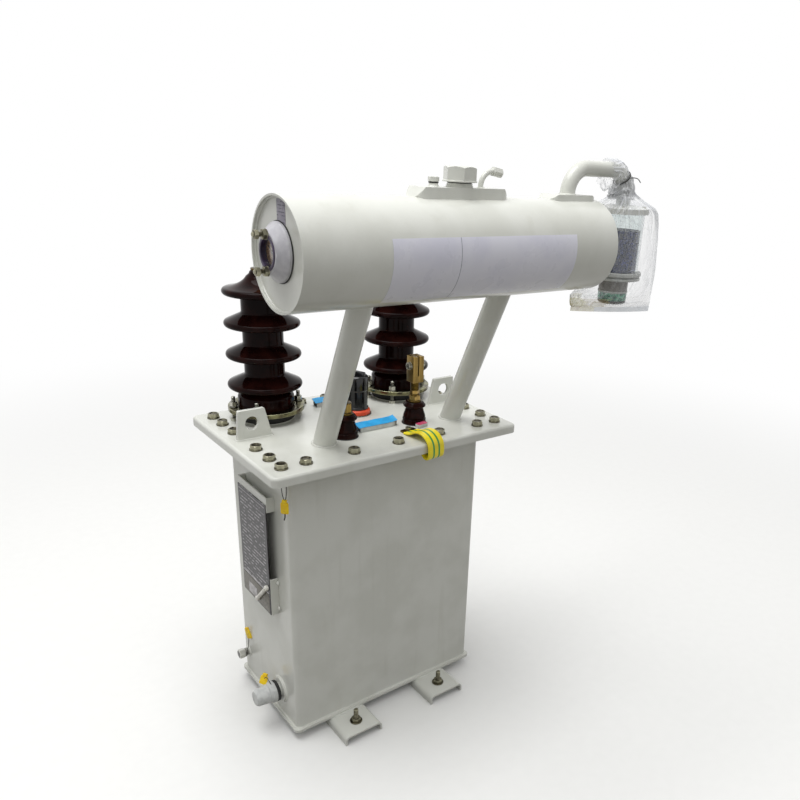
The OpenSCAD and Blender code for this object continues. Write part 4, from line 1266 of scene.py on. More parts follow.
# High voltage bushings
@dataclass
class HighVoltageBushing:
    """One tall porcelain with four sheds, its clamp ring on studs, and its terminal."""

    side: Side
    pair_x: float = 9.0
    reach: float = 156.0
    y: float = 108.0
    turret: float = 19.0
    clamp: float = 28.0
    neck_r: float = 55.0
    clamp_r: float = 75.0
    core_r: float = 39.0
    shed_r: float = 72.5
    lip_r: float = 6.5
    rise: float = 20.0
    pitch: float = 61.0
    first: float = 72.0
    count: int = 4
    cap_high: float = 39.0
    cap_r: float = 20.0
    top: float = 294.0
    stud_angles: tuple[float, ...] = (-10.0, 50.0, 170.0, 230.0)

    @property
    def x(self) -> float:
        """Returns where its axis stands."""
        return self.pair_x + self.side.value * self.reach

    def arc(self, mid: Span, radius: float, start: float, end: float) -> Outline:
        """Draws an arc of the outline.

        Args:
            mid: Its middle.
            radius: Its radius.
            start: The angle that it starts at, in degrees.
            end: The angle that it ends at, in degrees.

        Returns:
            Its points.
        """
        steps = 14
        turns = [math.radians(start + (end - start) * i / steps) for i in range(steps + 1)]
        return [Vector((mid[0] + radius * math.cos(a), mid[1] + radius * math.sin(a))) for a in turns]

    def outline(self) -> Outline:
        """Draws the porcelain's outline: neck, sheds with round lips, and the flared cap.

        Returns:
            Radius and height of each point.
        """
        flat = self.shed_r - self.lip_r - self.core_r
        high = math.atan2(self.rise - self.lip_r, flat)
        low = math.atan2(self.lip_r - 1.5, flat)
        neck, core = self.neck_r, self.core_r
        line = soften([(neck, self.turret), (neck, 50.0), (core, 60.0), (core, 64.0)], 5.0)
        for i in range(self.count):
            z = self.first + i * self.pitch
            under = (self.core_r + 4.0, z - 1.5 - 4.0 * math.tan(low) - 4.0 / math.cos(low))
            line += self.arc(under, 4.0, 180.0, 90.0 + math.degrees(low))
            line += self.arc((self.shed_r - self.lip_r, z), self.lip_r, 270.0 - math.degrees(low),
                             450.0 - math.degrees(high))
            if i < self.count - 1:
                over = (self.core_r + 7.0, z + self.rise - 7.0 * math.tan(high) + 7.0 / math.cos(high))
                line += self.arc(over, 7.0, 270.0 - math.degrees(high), 180.0)
            else:
                pull, end = Vector((core - 3.0, z + 11.0)), Vector((core - 13.0, z + 28.0))
                line += pulled(line[-1], pull, end, 12)[1:]
                line += self.arc((self.cap_r - 6.0, z + self.cap_high - 6.0), 6.0, 0.0, 90.0)
        return line

    def build(self) -> None:
        """Builds the bushing's pieces."""
        word, at = self.side.word, Way.UP.at(self.x, self.y, COVER_TOP)
        base, r, pad = Form(), self.neck_r, 1.5
        base.turned(at, soften([(40.0, 0.0), (r, 0.0), (r, pad), (40.0, pad)], 0.9), 96)
        # Black rubber runs up the whole turret above the pad: a real gasket, and painted shade under the
        # clamp ring.
        base.turned(at, soften([(40.0, pad), (r - 1.2, pad), (r - 0.3, 5.0), (r - 0.1, 10.0), (r - 0.5, 15.5),
                                (r - 1.6, self.turret), (40.0, self.turret)], 1.0), 96, part=1)
        base.piece(f"hv_turret_{word}_pad_and_gasket", [PAINT, RUBBER], "gasket", f"hv_turret_{word}")
        form = Form()
        form.turned(at, self.outline(), 112)
        form.piece(f"hv_porcelain_{word}_glazed", [PORCELAIN], "porcelain", f"hv_porcelain_{word}",
                   crease=50.0)
        ring = Form()
        ring.ring(at, self.neck_r + 1.0, self.clamp_r, self.turret, self.clamp, 1.4)
        for angle in self.stud_angles:
            turn = spin(math.radians(angle)) @ slide(65.0, 0.0, 0.0)
            ring.thread(at @ turn, 4.0, 0.4, 50.0, part=1)
            ring.disc(at @ turn, 8.5, self.clamp, self.clamp + 2.0, 0.5, part=1)
            ring.hexagon(at @ turn, 13.0, self.clamp + 2.0, self.clamp + 11.0, part=1, both=True)
            ring.hexagon(at @ turn, 13.0, 0.0, 6.0, part=1)
        ring.piece(f"hv_clamp_{word}_bolted", [CHROMATED_RING, BRIGHT_ZINC], "clamp", f"hv_clamp_{word}")
        stud = Form()
        stud.disc(at, 17.0, self.top, self.top + 4.0, 0.8)
        stud.hexagon(at @ spin(0.2), 20.8, self.top + 4.0, self.top + 16.0, both=True)
        stud.thread(at, 6.0, self.top + 16.0, self.top + 50.0)
        stud.piece(f"hv_terminal_{word}_threaded", [BRASS], "brass", f"hv_terminal_{word}")


# Low voltage bushings
@dataclass
class LowVoltageBushing:
    """One short porcelain with its brass terminal."""

    side: Side
    pair_x: float = 12.0
    reach: float = 80.5
    y: float = -71.0
    foot_r: float = 24.0
    high: float = 46.0

    @property
    def x(self) -> float:
        """Returns where its axis stands."""
        return self.pair_x + self.side.value * self.reach

    def porcelain(self) -> None:
        """Turns the porcelain: a grooved foot ring, a hollow cone and a bell near the top."""
        r, h = self.foot_r, self.high
        line = [(r, 0.0), (r, 10.2), (r - 1.8, 11.0), (r - 1.8, 12.0), (r - 0.8, 13.2), (r - 2.0, 19.0),
                (r - 4.4, 25.5), (r - 6.0, 32.0), (r - 6.0, 34.6), (r - 1.8, 36.0), (r - 1.0, 37.4),
                (r - 1.0, 39.2), (r - 2.4, 40.8), (r - 6.5, h), (r - 12.0, h)]
        form = Form()
        form.turned(Way.UP.at(self.x, self.y, COVER_TOP), soften(line, 1.6, 3), 72)
        form.ring(Way.UP.at(self.x, self.y, COVER_TOP), r - 1.0, r + 1.6, -0.2, 1.4, 0.5, part=1)
        form.piece(f"lv_porcelain_{self.side.word}_glazed", [PORCELAIN, RUBBER], "porcelain",
                   f"lv_porcelain_{self.side.word}", crease=50.0)

    def plain_terminal(self) -> None:
        """Adds the left terminal: a broad washer, a tall nut and a bright stud end."""
        at, h = Way.UP.at(self.x, self.y, COVER_TOP), self.high
        form = Form()
        form.disc(at, 15.0, h, h + 3.0, 0.8)
        form.hexagon(at @ spin(0.35), 20.0, h + 3.0, h + 20.5, both=True)
        form.disc(at, 12.0, h + 20.5, h + 23.0, 0.6)
        form.thread(at, 6.0, h + 23.0, h + 36.0)
        tip = [(6.0, h + 36.0), (6.0, h + 39.0), (4.6, h + 40.0), (0.5, h + 40.0)]
        form.turned(at, soften(tip, 0.6), 24, 1)
        form.piece("lv_terminal_left_threaded", [BRASS, BRIGHT_ZINC], "brass", "lv_terminal_left")

    def clamp_terminal(self) -> None:
        """Adds the right terminal: nuts, a collar and a square clamp in two jaws with a cross bolt."""
        at, h = Way.UP.at(self.x, self.y, COVER_TOP), self.high
        form = Form()
        form.disc(at, 14.0, h, h + 3.0, 0.8)
        form.hexagon(at, 20.8, h + 3.0, h + 13.0, both=True)
        form.disc(at, 11.0, h + 13.0, h + 16.0, 0.6)
        form.hexagon(at @ spin(0.5), 16.4, h + 16.0, h + 24.0, both=True)
        form.turned(at, soften([(4.0, h + 24.0), (9.0, h + 24.0), (9.0, h + 41.5), (4.0, h + 41.5)], 0.8), 40)
        low, high, gap = h + 41.0, h + 95.0, 1.2
        for s in (-1, 1):
            jaw = rounded(12.5 - gap, 25.0, 1.6, 3)
            place = at @ slide(s * (6.25 + gap / 2), 0.0, 0.0)
            form.slab(place, jaw, low + 2.0, high, 1.0)
        form.slab(at, rounded(24.6, 24.6, 1.6, 3), low, low + 14.0, 1.0)
        cross = at @ slide(0.0, 0.0, h + 75.0) @ Way.LEFT.at(0.0, 0.0, 0.0)
        form.disc(cross, 8.4, 12.5, 14.2, 0.4, part=1, count=28)
        form.hexagon(cross, 13.0, 14.2, 19.0, part=1, dish=0.8)
        form.disc(cross, 8.4, -14.2, -12.5, 0.4, part=1, count=28)
        form.hexagon(cross, 13.0, -18.5, -14.2, part=1, both=True)
        form.thread(cross, 4.5, -22.0, -18.5, part=1)
        low_bolt = at @ slide(12.0, -3.0, h + 50.0) @ Way.RIGHT.at(0.0, 0.0, 0.0)
        form.hexagon(low_bolt, 8.0, 0.0, 4.5)
        form.piece("lv_terminal_right_clamp", [BRASS, BRIGHT_ZINC], "brass", "lv_terminal_right")

    def build(self) -> None:
        """Builds the bushing's pieces."""
        self.porcelain()
        if self.side is Side.LEFT:
            self.plain_terminal()
        else:
            self.clamp_terminal()


# Tap changer
@dataclass
class TapChanger:
    """The off-load tap changer's black head on its orange ring."""

    x: float = 21.0
    y: float = 37.0
    radius: float = 24.0
    base_high: float = 12.0
    high: float = 72.0

    def build(self) -> None:
        """Turns the ring and the head, with its grip and screws."""
        at, r, top = Way.UP.at(self.x, self.y, COVER_TOP), self.radius, self.base_high + self.high
        base = Form()
        line = [(r - 2.0, 0.0), (r + 4.0, 0.0), (r + 4.0, 9.0), (r + 1.0, 12.0), (r - 2.0, 12.0)]
        base.turned(at, soften(line, 1.2))
        base.ring(at, r + 3.6, r + 6.4, 0.0, 2.2, 0.7, part=1)
        base.piece("tap_changer_ring", [NYLON, BRIGHT_ZINC], "tap_base", "tap_changer_base")
        head = Form()
        line = [(r - 5.0, 12.0), (r, 12.0), (r, 16.0), (r - 1.5, 17.5), (r - 1.5, 52.0), (r, 54.0),
                (r, top - 3.5), (r - 3.5, top), (r - 12.0, top)]
        head.turned(at, soften(line, 1.6), 72)
        grip = at @ spin(0.35)
        head.slab(grip, rounded(10.0, 2 * r - 6.0, 4.0), top - 1.0, top + 8.0, 1.8)
        for s in (-1, 1):
            place = grip @ slide(s * 13.0, 0.0, 0.0)
            head.disc(place, 4.0, top - 0.2, top + 2.6, 0.6, part=1, count=24)
        flat = at @ slide(r - 1.0, -4.0, 60.0) @ Way.RIGHT.at(0.0, 0.0, 0.0)
        head.hexagon(flat, 9.0, 0.0, 4.0, part=1)
        head.piece("tap_changer_knob", [PHENOLIC, BRIGHT_ZINC], "tap_head", "tap_changer_head")


# Label holders on the cover
@dataclass
class LabelHolder:
    """A moulded channel on the cover with a blue card over its sloping top, left bare."""

    word: str
    x: float
    y: float
    wide: float = 92.0
    deep: float = 18.0
    high: float = 16.0

    def build(self) -> None:
        """Builds the channel and its card."""
        d, h = self.deep / 2, self.high
        low = h * 0.66
        section = [(-d, 0.0), (d, 0.0), (d, h - 1.2), (-d, low - 1.2)]
        form = Form()
        start, stop = -self.wide / 2 + 4.0, self.wide / 2 - 9.0
        # The black inset just inside the open left end is painted shade: the dark inside of the hollow
        # channel.
        hollow = [(-d + 2.5, 1.0), (d - 2.5, 1.0), (d - 2.5, h - 4.5), (-d + 2.5, low - 4.0)]
        for line, rows, part in ((loop_of(section, 1.0, 3), (start, stop), 0),
                                 (loop_of(hollow, 0.8, 3), (start - 0.25, start + 1.25), 1)):
            form.skin([[Vector((self.x + a, self.y + p.x, COVER_TOP + p.y)) for p in line]
                       for a in rows], part)
        end = Way.UP.at(self.x + stop, self.y, COVER_TOP)
        form.turned(end, soften([(2.0, 0.0), (d, 0.0), (d, low + 1.0), (2.0, low + 1.0)], 1.4), 40, 2)
        slope = Vector((0.0, 2 * d, h - low)).normalized()
        lift = Vector((0.0, -slope.z, slope.y))
        rings = []
        for i in range(25):
            t = i / 24
            a = -self.wide / 2 + t * (self.wide - 3.0)
            curl = 2.5 * max(0.0, (t - 0.85) / 0.15) ** 2 + 0.5 * math.sin(t * 9.0) ** 2
            rim = Vector((self.x + a, self.y - d - 0.6, COVER_TOP + low + curl - 1.0))
            over = rim + slope * (2 * d + 1.2)
            rings.append([rim, over, over + lift * 0.7, rim + lift * 0.7])
        form.skin(rings, 3)
        form.piece(f"label_card_{self.word}", [CARRIER, RUBBER, ALUMINIUM, BLUE_CARD], "label",
                   f"label_holder_{self.word}")


@dataclass
class CoverMarker:
    """A small bare marker on the cover beside the right low voltage bushing."""

    x: float = 89.5
    y: float = -102.0

    def build(self) -> None:
        """Adds the white block with its pink top."""
        form = Form()
        at = Way.UP.at(self.x, self.y, COVER_TOP) @ spin(0.15)
        form.slab(at, rounded(25.0, 13.0, 3.0), 0.0, 7.0, 1.0)
        form.slab(at, rounded(23.6, 11.6, 2.6), 6.8, 8.6, 0.6, part=1)
        form.piece("cover_marker", [CARRIER, PINK_CARD], "label")


# Conservator
@dataclass
class Conservator:
    """The oil conservator on its two leaning pipes, with its fittings, welds and bare stickers."""

    left: float = -282.0
    right: float = 348.0
    y: float = -258.0
    z: float = 993.5
    radius: float = 82.5
    wall: float = 3.0
    cap_in: float = 6.0
    pipe_r: float = 21.0
    pipe_x: Span = (-121.5, 175.5)
    pipe_y: float = -84.0
    pad_top: float = 1090.0
    filler_x: float = 38.0

    def ring(self, x: float, radius: float, count: int = 120) -> list[Vector]:
        """Returns a ring about the conservator's axis."""
        return [Vector((x, self.y + radius * math.cos(a), self.z + radius * math.sin(a)))
                for a in angles(count)]

    def welds(self) -> None:
        """Adds the beads at the end caps, at both ends of the pipes and round the pads."""
        form = Form()
        inner = self.radius - self.wall
        for x, s in ((self.left + self.cap_in, -1), (self.right - self.cap_in, 1)):
            form.weld(self.ring(x + s * 0.5, inner), 2.0)
        lean = math.atan2(self.pipe_y - self.y, self.z - COVER_TOP)
        along = Vector((0.0, -math.sin(lean), math.cos(lean)))
        across = Vector((0.0, math.cos(lean), math.sin(lean)))
        for x in self.pipe_x:
            foot, top = [], []
            for a in angles(72):
                foot.append(Vector((x + self.pipe_r * math.cos(a),
                                    self.pipe_y + self.pipe_r * math.sin(a) / math.cos(lean), COVER_TOP)))
                off = self.pipe_r * math.sin(a)
                far = math.sqrt(self.radius**2 - off**2)
                axis = Vector((x, self.y, self.z))
                top.append(axis + Vector((self.pipe_r * math.cos(a), 0.0, 0.0)) + across * off - along * far)
            form.weld(foot, 3.0)
            form.weld(top, 2.6)
        form.piece("conservator_weld_beads", [PAINT], "paint")

    def patch(self, form: Form, x: Span, turn: Span, part: int, out: float = 0.35) -> None:
        """Adds a thin sheet that lies on the shell.

        Args:
            form: The form that it joins.
            x: Its left and right ends.
            turn: Its lower and upper edges, in degrees up from the front.
            part: Which finish it takes.
            out: Its thickness.
        """
        rows = []
        for r in (self.radius + 0.02, self.radius + out):
            row = []
            for i in range(41):
                a = math.radians(turn[0] + (turn[1] - turn[0]) * i / 40)
                row.append((r * math.cos(a), r * math.sin(a)))
            rows.append(row)
        section = rows[0] + rows[1][::-1]
        spots = [x[0] + (x[1] - x[0]) * i / 12 for i in range(13)]
        form.skin([[Vector((a, self.y - p[0], self.z + p[1])) for p in section] for a in spots], part)

    def stickers(self) -> None:
        """Lays the white vinyl on the shell, with its cut line, and the small label on the left cap."""
        form = Form()
        self.patch(form, (-140.0, -16.0), (-56.0, 20.0), 0)
        self.patch(form, (-14.6, 240.0), (-56.0, 20.0), 0)
        self.patch(form, (-16.2, -14.4), (-55.8, 19.8), 1, 0.2)
        cap = Way.LEFT.at(self.left + self.cap_in, 0.0, 0.0)
        middle = cap.inverted() @ Vector((self.left + self.cap_in, self.y - 9.0, self.z + 52.0))
        form.slab(cap @ slide(middle.x, middle.y, 0.0), rounded(26.0, 48.0, 2.0, 3), 0.0, 0.4, 0.1, 2)
        form.piece("conservator_stickers", [VINYL, VINYL_LINE, GREY_LABEL], "label")

    def fittings(self) -> None:
        """Adds the filler cap, the vent plug and the vent tube."""
        cap = Form()
        at = Way.UP.at(self.filler_x, self.y, self.pad_top)
        cap.disc(at, 28.4, 8.0, 10.5, 0.8)
        cap.hexagon(at @ spin(0.12), 48.0, 10.5, 32.0)
        cap.ring(at, 18.0, 20.4, 6.6, 8.2, 0.5, part=1)
        cap.piece("filler_cap_machined", [PAINT, RUBBER], "paint", "filler_cap")
        plug = Form()
        at = Way.UP.at(self.filler_x - 52.0, self.y, self.pad_top)
        plug.turned(at, soften([(10.0, 0.0), (7.5, 3.0), (7.5, 5.5), (5.0, 5.5), (5.0, 8.5)], 0.8), 40)
        plug.ring(at, 5.0, 8.2, 5.6, 7.4, 0.6, part=1, count=40)
        plug.hexagon(at @ spin(0.3), 15.6, 7.5, 15.0, both=True)
        plug.piece("vent_plug_machined", [PAINT, RUBBER], "paint", "vent_plug")
        tube, x, bend, up = Form(), self.filler_x + 44.0, 24.0, 2.0
        path = [Vector((x, self.y, self.pad_top - 1.0)), Vector((x, self.y, self.pad_top + up))]
        over = math.radians(100.0)
        for a in (over * i / 20 for i in range(1, 21)):
            path.append(Vector((x + bend - bend * math.cos(a), self.y,
                                self.pad_top + up + bend * math.sin(a))))
        tube.tube(path, 4.5, count=20)
        end = standing(path[-1], Vector((math.sin(over), 0.0, math.cos(over))))
        tube.hexagon(end, 13.9, -4.0, 14.0, both=True, bore=4.0)
        tube.turned(end, [(3.9, 11.0), (3.9, 13.4)], 24, 1)
        tube.weld(hoop(Way.UP.at(x, self.y, self.pad_top), 5.0, 24), 1.6)
        tube.piece("vent_tube_bent", [PAINT, RUBBER], "paint", "vent_tube")

    def build(self) -> None:
        """Dresses the conservator and adds its pieces."""
        for node in ("conservator_shell", "support_pipe_left", "support_pipe_right", "filler_neck",
                     "breather_pipe", "conservator_cap_left", "conservator_cap_right"):
            dress_node(node, PAINT)
        for node in ("filler_pad", "breather_pad"):
            dress_node(node, PAINT, 1.2)
        self.welds()
        self.stickers()
        self.fittings()


# Oil gauge
@dataclass
class OilGauge:
    """The round oil gauge on the conservator's left cap, with a dial behind glass."""

    x: float = -276.0
    y: float = -258.0
    z: float = 997.5
    flange_r: float = 42.0
    barrel_r: float = 27.0
    bore_r: float = 20.0
    barrel_high: float = 19.0
    stud_at: float = 25.0

    def build(self) -> None:
        """Builds the housing, its rubber ring, the dial with its marks, the studs, and a black ring of
        painted contact shadow at the flange's foot.
        """
        at, high = Way.LEFT.at(self.x, self.y, self.z), self.barrel_high
        form = Form()
        sleeve = self.bore_r + 4.5
        line = [(sleeve, 9.0), (sleeve, high), (self.barrel_r + 1.0, high), (self.barrel_r + 2.0, high - 1.0),
                (self.flange_r - 1.0, 6.5), (self.flange_r, 5.0), (self.flange_r, 0.0)]
        form.turned(at, soften(line, 1.0), 72)
        form.ring(at, self.bore_r, sleeve + 0.1, 9.0, high + 1.2, 0.9, part=1, count=64)
        # A black ring round the flange's foot: painted contact shadow where the flange meets the cap.
        form.ring(at, self.flange_r - 1.2, self.flange_r + 1.4, -0.2, 1.6, 0.6, part=5)
        form.disc(at, self.bore_r - 0.4, 9.0, 9.5, 0.1, part=2, count=48)
        for i in range(13):
            a = math.radians(-30.0 + 240.0 * i / 12)
            long = 5.0 if i % 3 == 0 else 3.0
            mark = at @ spin(a) @ slide(16.5 - long / 2, 0.0, 0.0)
            form.slab(mark, rounded(long, 1.0, 0.2, 2), 9.4, 9.8, 0.1, part=3)
        needle = at @ spin(math.radians(140.0)) @ slide(6.0, 0.0, 0.0)
        form.slab(needle, rounded(16.0, 1.6, 0.7, 3), 9.8, 10.2, 0.1, part=3)
        form.disc(at, 3.0, 9.4, 10.3, 0.3, part=3, count=24)
        for s in (-1, 1):
            place = Way.LEFT.at(self.x, self.y, self.z + s * self.stud_at)
            form.disc(place, 7.4, high, high + 1.4, 0.4, part=4, count=28)
            form.hexagon(place, 13.0, high + 1.4, high + 7.0, part=4, both=True)
            form.thread(place, 3.5, high + 7.0, 40.0, part=4)
            form.hexagon(place, 12.0, 31.5, 37.5, part=4, both=True)
        finishes = [CASTING, VIOLET_RUBBER, DIAL, DIAL_MARK, ZINC, RUBBER]
        form.piece("oil_gauge_detailed", finishes, "clamp", "oil_gauge")
        dress_node("gauge_glass", GLASS)


# Breather
@dataclass
class Breather:
    """The silica gel breather: flanges, a glass cylinder of beads, and an oil cup."""

    x: float = 445.0
    y: float = -258.0
    top: float = 1066.5
    glass_low: float = 940.5
    low: float = 876.5
    flange_r: float = 52.0
    gel_r: float = 40.6
    gel_high: float = 79.0
    pipe_x: float = 287.0
    pipe_foot: float = 1083.0
    pipe_r: float = 14.0
    screw_at: float = 41.0
    cup_r: float = 30.0
    cup_high: float = 48.0

    def gel(self) -> None:
        """Builds the filling, with a bed of beads that bulge from its side and top."""
        form, bead = Form(), 4.6
        rows = int(self.gel_high / (bead / 3))
        count = 3 * round(math.tau * self.gel_r / bead)
        rings = []
        for j in range(rows + 1):
            z = self.gel_high * j / rows
            row = []
            for a in angles(count):
                line = int(z / bead)
                off = ((a * self.gel_r + (line % 2) * bead / 2) / bead % 1 - 0.5, z / bead % 1 - 0.5)
                bulge = 0.9 * math.sqrt(max(0.0, 1.0 - 4.0 * min(0.25, off[0] ** 2 + off[1] ** 2)))
                r = self.gel_r - 0.9 + bulge
                row.append(Vector((self.x + r * math.cos(a), self.y + r * math.sin(a),
                                   self.glass_low + 0.1 + z)))
            rings.append(row)
        for k in range(1, 12):
            share = 1.0 - k / 12
            row = []
            for a in angles(count):
                lump = 1.6 * noise.noise(Vector((share * 9 * math.cos(a), share * 9 * math.sin(a), 3.0)))
                r = self.gel_r * share
                row.append(Vector((self.x + r * math.cos(a), self.y + r * math.sin(a),
                                   self.glass_low + self.gel_high + lump)))
            rings.append(row)
        form.skin(rings)
        form.piece("breather_gel_beads", [GEL], "gel", "breather_gel", crease=60.0)

    def cup(self) -> None:
        """Turns the lower flange, the grey neck, and the green oil cup with its black foot."""
        at, form = Way.UP.at(self.x, self.y, self.low), Form()
        c, r, h, top = self.cup_r, self.flange_r, self.cup_high, self.glass_low - self.low
        flange = [(c - 2.0, h - 0.5), (r - 2.0, h), (r - 1.0, h + 1.0), (r - 1.0, h + 4.5),
                  (r - 3.0, h + 5.5),
                  (r - 6.0, h + 5.8), (r - 6.0, h + 7.2), (r - 2.0, h + 7.5), (r, h + 9.0), (r, top - 1.0),
                  (r - 1.0, top), (r - 10.0, top)]
        neck = [(c - 8.0, 22.0), (c - 1.0, 22.0), (c - 1.0, h), (c - 8.0, h)]
        cup = [(c - 8.0, 5.0), (c - 2.0, 5.0), (c - 1.2, 8.0), (c - 1.2, 22.4), (c - 8.0, 22.4)]
        foot = [(c - 14.0, 0.0), (c - 4.0, 0.0), (c - 1.5, 3.0), (c - 1.5, 7.0), (c - 8.0, 7.0)]
        form.turned(at, soften(flange, 0.8), 80)
        form.turned(at, soften(neck, 0.8), 64, part=1)
        form.ring(at, c - 6.0, c, 22.0, 25.5, 0.8)
        form.turned(at, soften(cup, 0.8), 64, part=2)
        form.turned(at, soften(foot, 0.8), 64, part=3)
        finishes = [CARRIER, GREY_MOULDING, GREEN_CUP, PHENOLIC]
        form.piece("breather_cup_turned", finishes, "film", "breather_cup")

    def bolts(self) -> None:
        """Adds the screws of the top flange and the bead at the pipe's foot."""
        form = Form()
        for i in range(4):
            a = math.radians(45.0 + 90.0 * i)
            across, back = self.screw_at * math.cos(a), self.screw_at * math.sin(a)
            at = Way.UP.at(self.x + across, self.y + back, self.top - 5.4)
            form.hexagon(at, 8.0, -1.0, 4.0, part=1)
        form.weld(hoop(Way.UP.at(self.pipe_x, self.y, self.pipe_foot), self.pipe_r, 48), 2.2)
        form.piece("breather_pipe_weld_and_screws", [PAINT, BRIGHT_ZINC], "paint")

    def build(self) -> None:
        """Dresses the breather and adds its pieces."""
        dress_node("breather_top", PAINT, 0.8)
        dress_node("breather_glass", GLASS)
        self.gel()
        self.cup()
        self.bolts()


# Bag over the breather
@dataclass
class BreatherBag:
    """The clear bag that keeps the breather sealed until it is put to work.

    It is a flat tube of film, welded along its lower edge, drawn over the breather and up
    round the pipe's bend, where a wire ties it. It is shaped in code: sides that come to
    a fold, folds that fan out from the tie, creases, and a welded edge that hangs aslant.
    """

    x: float = 445.0
    y: float = -258.0
    bend_z: float = 1083.5
    bend: float = 45.0
    pipe_r: float = 14.0
    aslant: float = 19.5
    level_at: float = 905.0
    strip: float = 11.0
    mean_r: float = 92.0
    deepest: float = 9.0
    gather_z: float = 1078.0
    right_edge: float = 125.0
    lay_flat: float = 244.0
    crease_count: int = 150
    reflection_tint_x: float = 393.0
    reflection_tint_top: float = 893.0
    reflection_tint_wander: float = 14.0
    around: int = 288
    rows: int = 150
    # height, half width left, half width right, half depth, how pointed its sides are
    rings: tuple[tuple[float, float, float, float, float], ...] = (
        (848.5, 119.0, 125.0, 0.8, 1.0), (859.5, 119.5, 126.0, 1.2, 1.0), (862.5, 120.0, 126.0, 14.0, 1.2),
        (866.0, 121.0, 126.5, 27.0, 1.4), (869.5, 122.0, 126.5, 33.5, 1.5), (880.0, 124.0, 126.5, 47.0, 1.7),
        (894.0, 125.0, 126.0, 57.0, 1.7), (903.0, 112.0, 125.5, 60.0, 1.7), (909.0, 94.0, 125.0, 61.0, 1.7),
        (930.0, 90.0, 125.0, 62.5, 1.7), (960.0, 89.0, 124.0, 62.0, 1.7), (997.0, 89.0, 122.0, 62.0, 1.7),
        (1030.0, 88.0, 114.0, 61.5, 1.7), (1051.0, 85.0, 103.0, 60.5, 1.6), (1062.0, 76.0, 85.0, 57.5, 1.4),
        (1070.0, 60.0, 62.0, 46.0, 1.2), (1078.0, 42.0, 43.0, 33.0, 1.0), (1087.0, 27.0, 27.0, 23.0, 1.0),
        (1096.0, 18.5, 18.5, 18.5, 1.0))

    def creases(self) -> list[tuple[float, float, float, float, float, float]]:
        """Draws the creases at random, from a fixed seed.

        Returns:
            Of each its middle round the bag and up it, direction, half length, depth and width.
        """
        draw = random.Random(29)
        made = []
        for _ in range(self.crease_count):
            turn, z = draw.uniform(0.0, math.tau), draw.uniform(870.0, 1075.0)
            lean = draw.gauss(math.pi / 2, 0.55)
            long, depth, width = draw.uniform(14.0, 62.0), draw.uniform(0.8, 2.6), draw.uniform(1.6, 4.5)
            made.append((turn, z, lean, long, depth, width))
        return made

    def shares(self, z: float) -> tuple[float, ...]:
        """Finds the bag's section at a height.

        Args:
            z: The height.

        Returns:
            The half widths, the half depth and how pointed the sides are.
        """
        for a, b in zip(self.rings, self.rings[1:]):
            if z <= b[0]:
                s = (z - a[0]) / (b[0] - a[0])
                return tuple(a[k] + (b[k] - a[k]) * s for k in (1, 2, 3, 4))
        return self.rings[-1][1:]

    def point(self, z: float, turn: float, creases: Sequence[tuple[float, ...]]) -> Vector:
        """Finds the film's point at a height and an angle.

        Args:
            z: Height, before the lower edge is hung aslant.
            turn: Angle round the bag, in radians.
            creases: The creases.

        Returns:
            The point.
        """
        left, right, deep, sharp = self.shares(z)
        c, s = math.cos(turn), math.sin(turn)
        wide = left if c < 0 else right
        x, y = wide * c, deep * math.copysign(abs(s) ** sharp, s)
        calm = clamped((z - 866.0) / 40.0) * clamped((1100.0 - z) / 16.0)
        high = clamped((z - 985.0) / 70.0)
        low = clamped((930.0 - z) / 40.0) * max(0.0, -c)
        fan = noise.noise(Vector((c * 1.6, s * 1.6, 4.0))) * 3.0
        pleats = (1.0 - abs(math.sin(turn * 9.0 + fan))) ** 2 * 5.0 * high
        pleats += (1.0 - abs(math.sin(turn * 21.0 + fan * 2.0))) ** 2 * 1.6 * high
        folds = 0.0
        for at, mid, lean, half, depth, width in creases:
            across = ((turn - at + math.pi) % math.tau - math.pi) * self.mean_r
            along = across * math.cos(lean) + (z - mid) * math.sin(lean)
            off = abs((z - mid) * math.cos(lean) - across * math.sin(lean))
            if abs(along) < half and off < 5.0 * width:
                folds += depth * math.exp(-off / width) * (1.0 - (along / half) ** 2)
        place = Vector((c * 1.7, s * 1.7, z / 75.0))
        slow = 3.2 * (1.0 + noise.noise(place)) * (1.0 - 0.5 * high)
        crush = 9.0 * low * abs(noise.fractal(place * 2.4, 1.1, 2.0, 3))
        inward = min(self.deepest, (pleats + folds + slow) * calm + crush * clamped((z - 852.0) / 10.0))
        room = clamped(abs(x) / 40.0) if z < 880.0 else 1.0
        size = math.hypot(x, y) or 1.0
        share = max(0.2, 1.0 - inward * room / size)
        slant = self.aslant * max(0.0, (self.right_edge - x) / self.lay_flat) ** 1.3
        drop = clamped((self.level_at - z) / (self.level_at - self.rings[0][0]))
        up = max(0.0, z - self.bend_z)
        shift = math.sqrt(self.bend**2 - up**2) - self.bend
        return Vector((self.x + x * share + shift, self.y + y * share, z + slant * drop))

    def body(self) -> bpy.types.Object:
        """Builds the film from its welded edge up to the bend.

        Returns:
            The film.
        """
        form, creases = Form(), self.creases()
        low, high = self.rings[0][0], self.rings[-1][0]
        levels = sorted({low + (high - low) * j / self.rows for j in range(self.rows + 1)}
                        | {low + self.strip - 0.6, low + self.strip, low + self.strip + 0.6})
        rings = [[self.point(z, a, creases) for a in angles(self.around)] for z in levels]
        weld = levels.index(low + self.strip)
        gather = next(i for i, z in enumerate(levels) if z > self.gather_z)
        form.skin(rings[: weld + 1], 2, ends=False)
        form.skin(rings[weld : gather + 1], 0, ends=False)
        form.skin(rings[gather:], 1, ends=False)
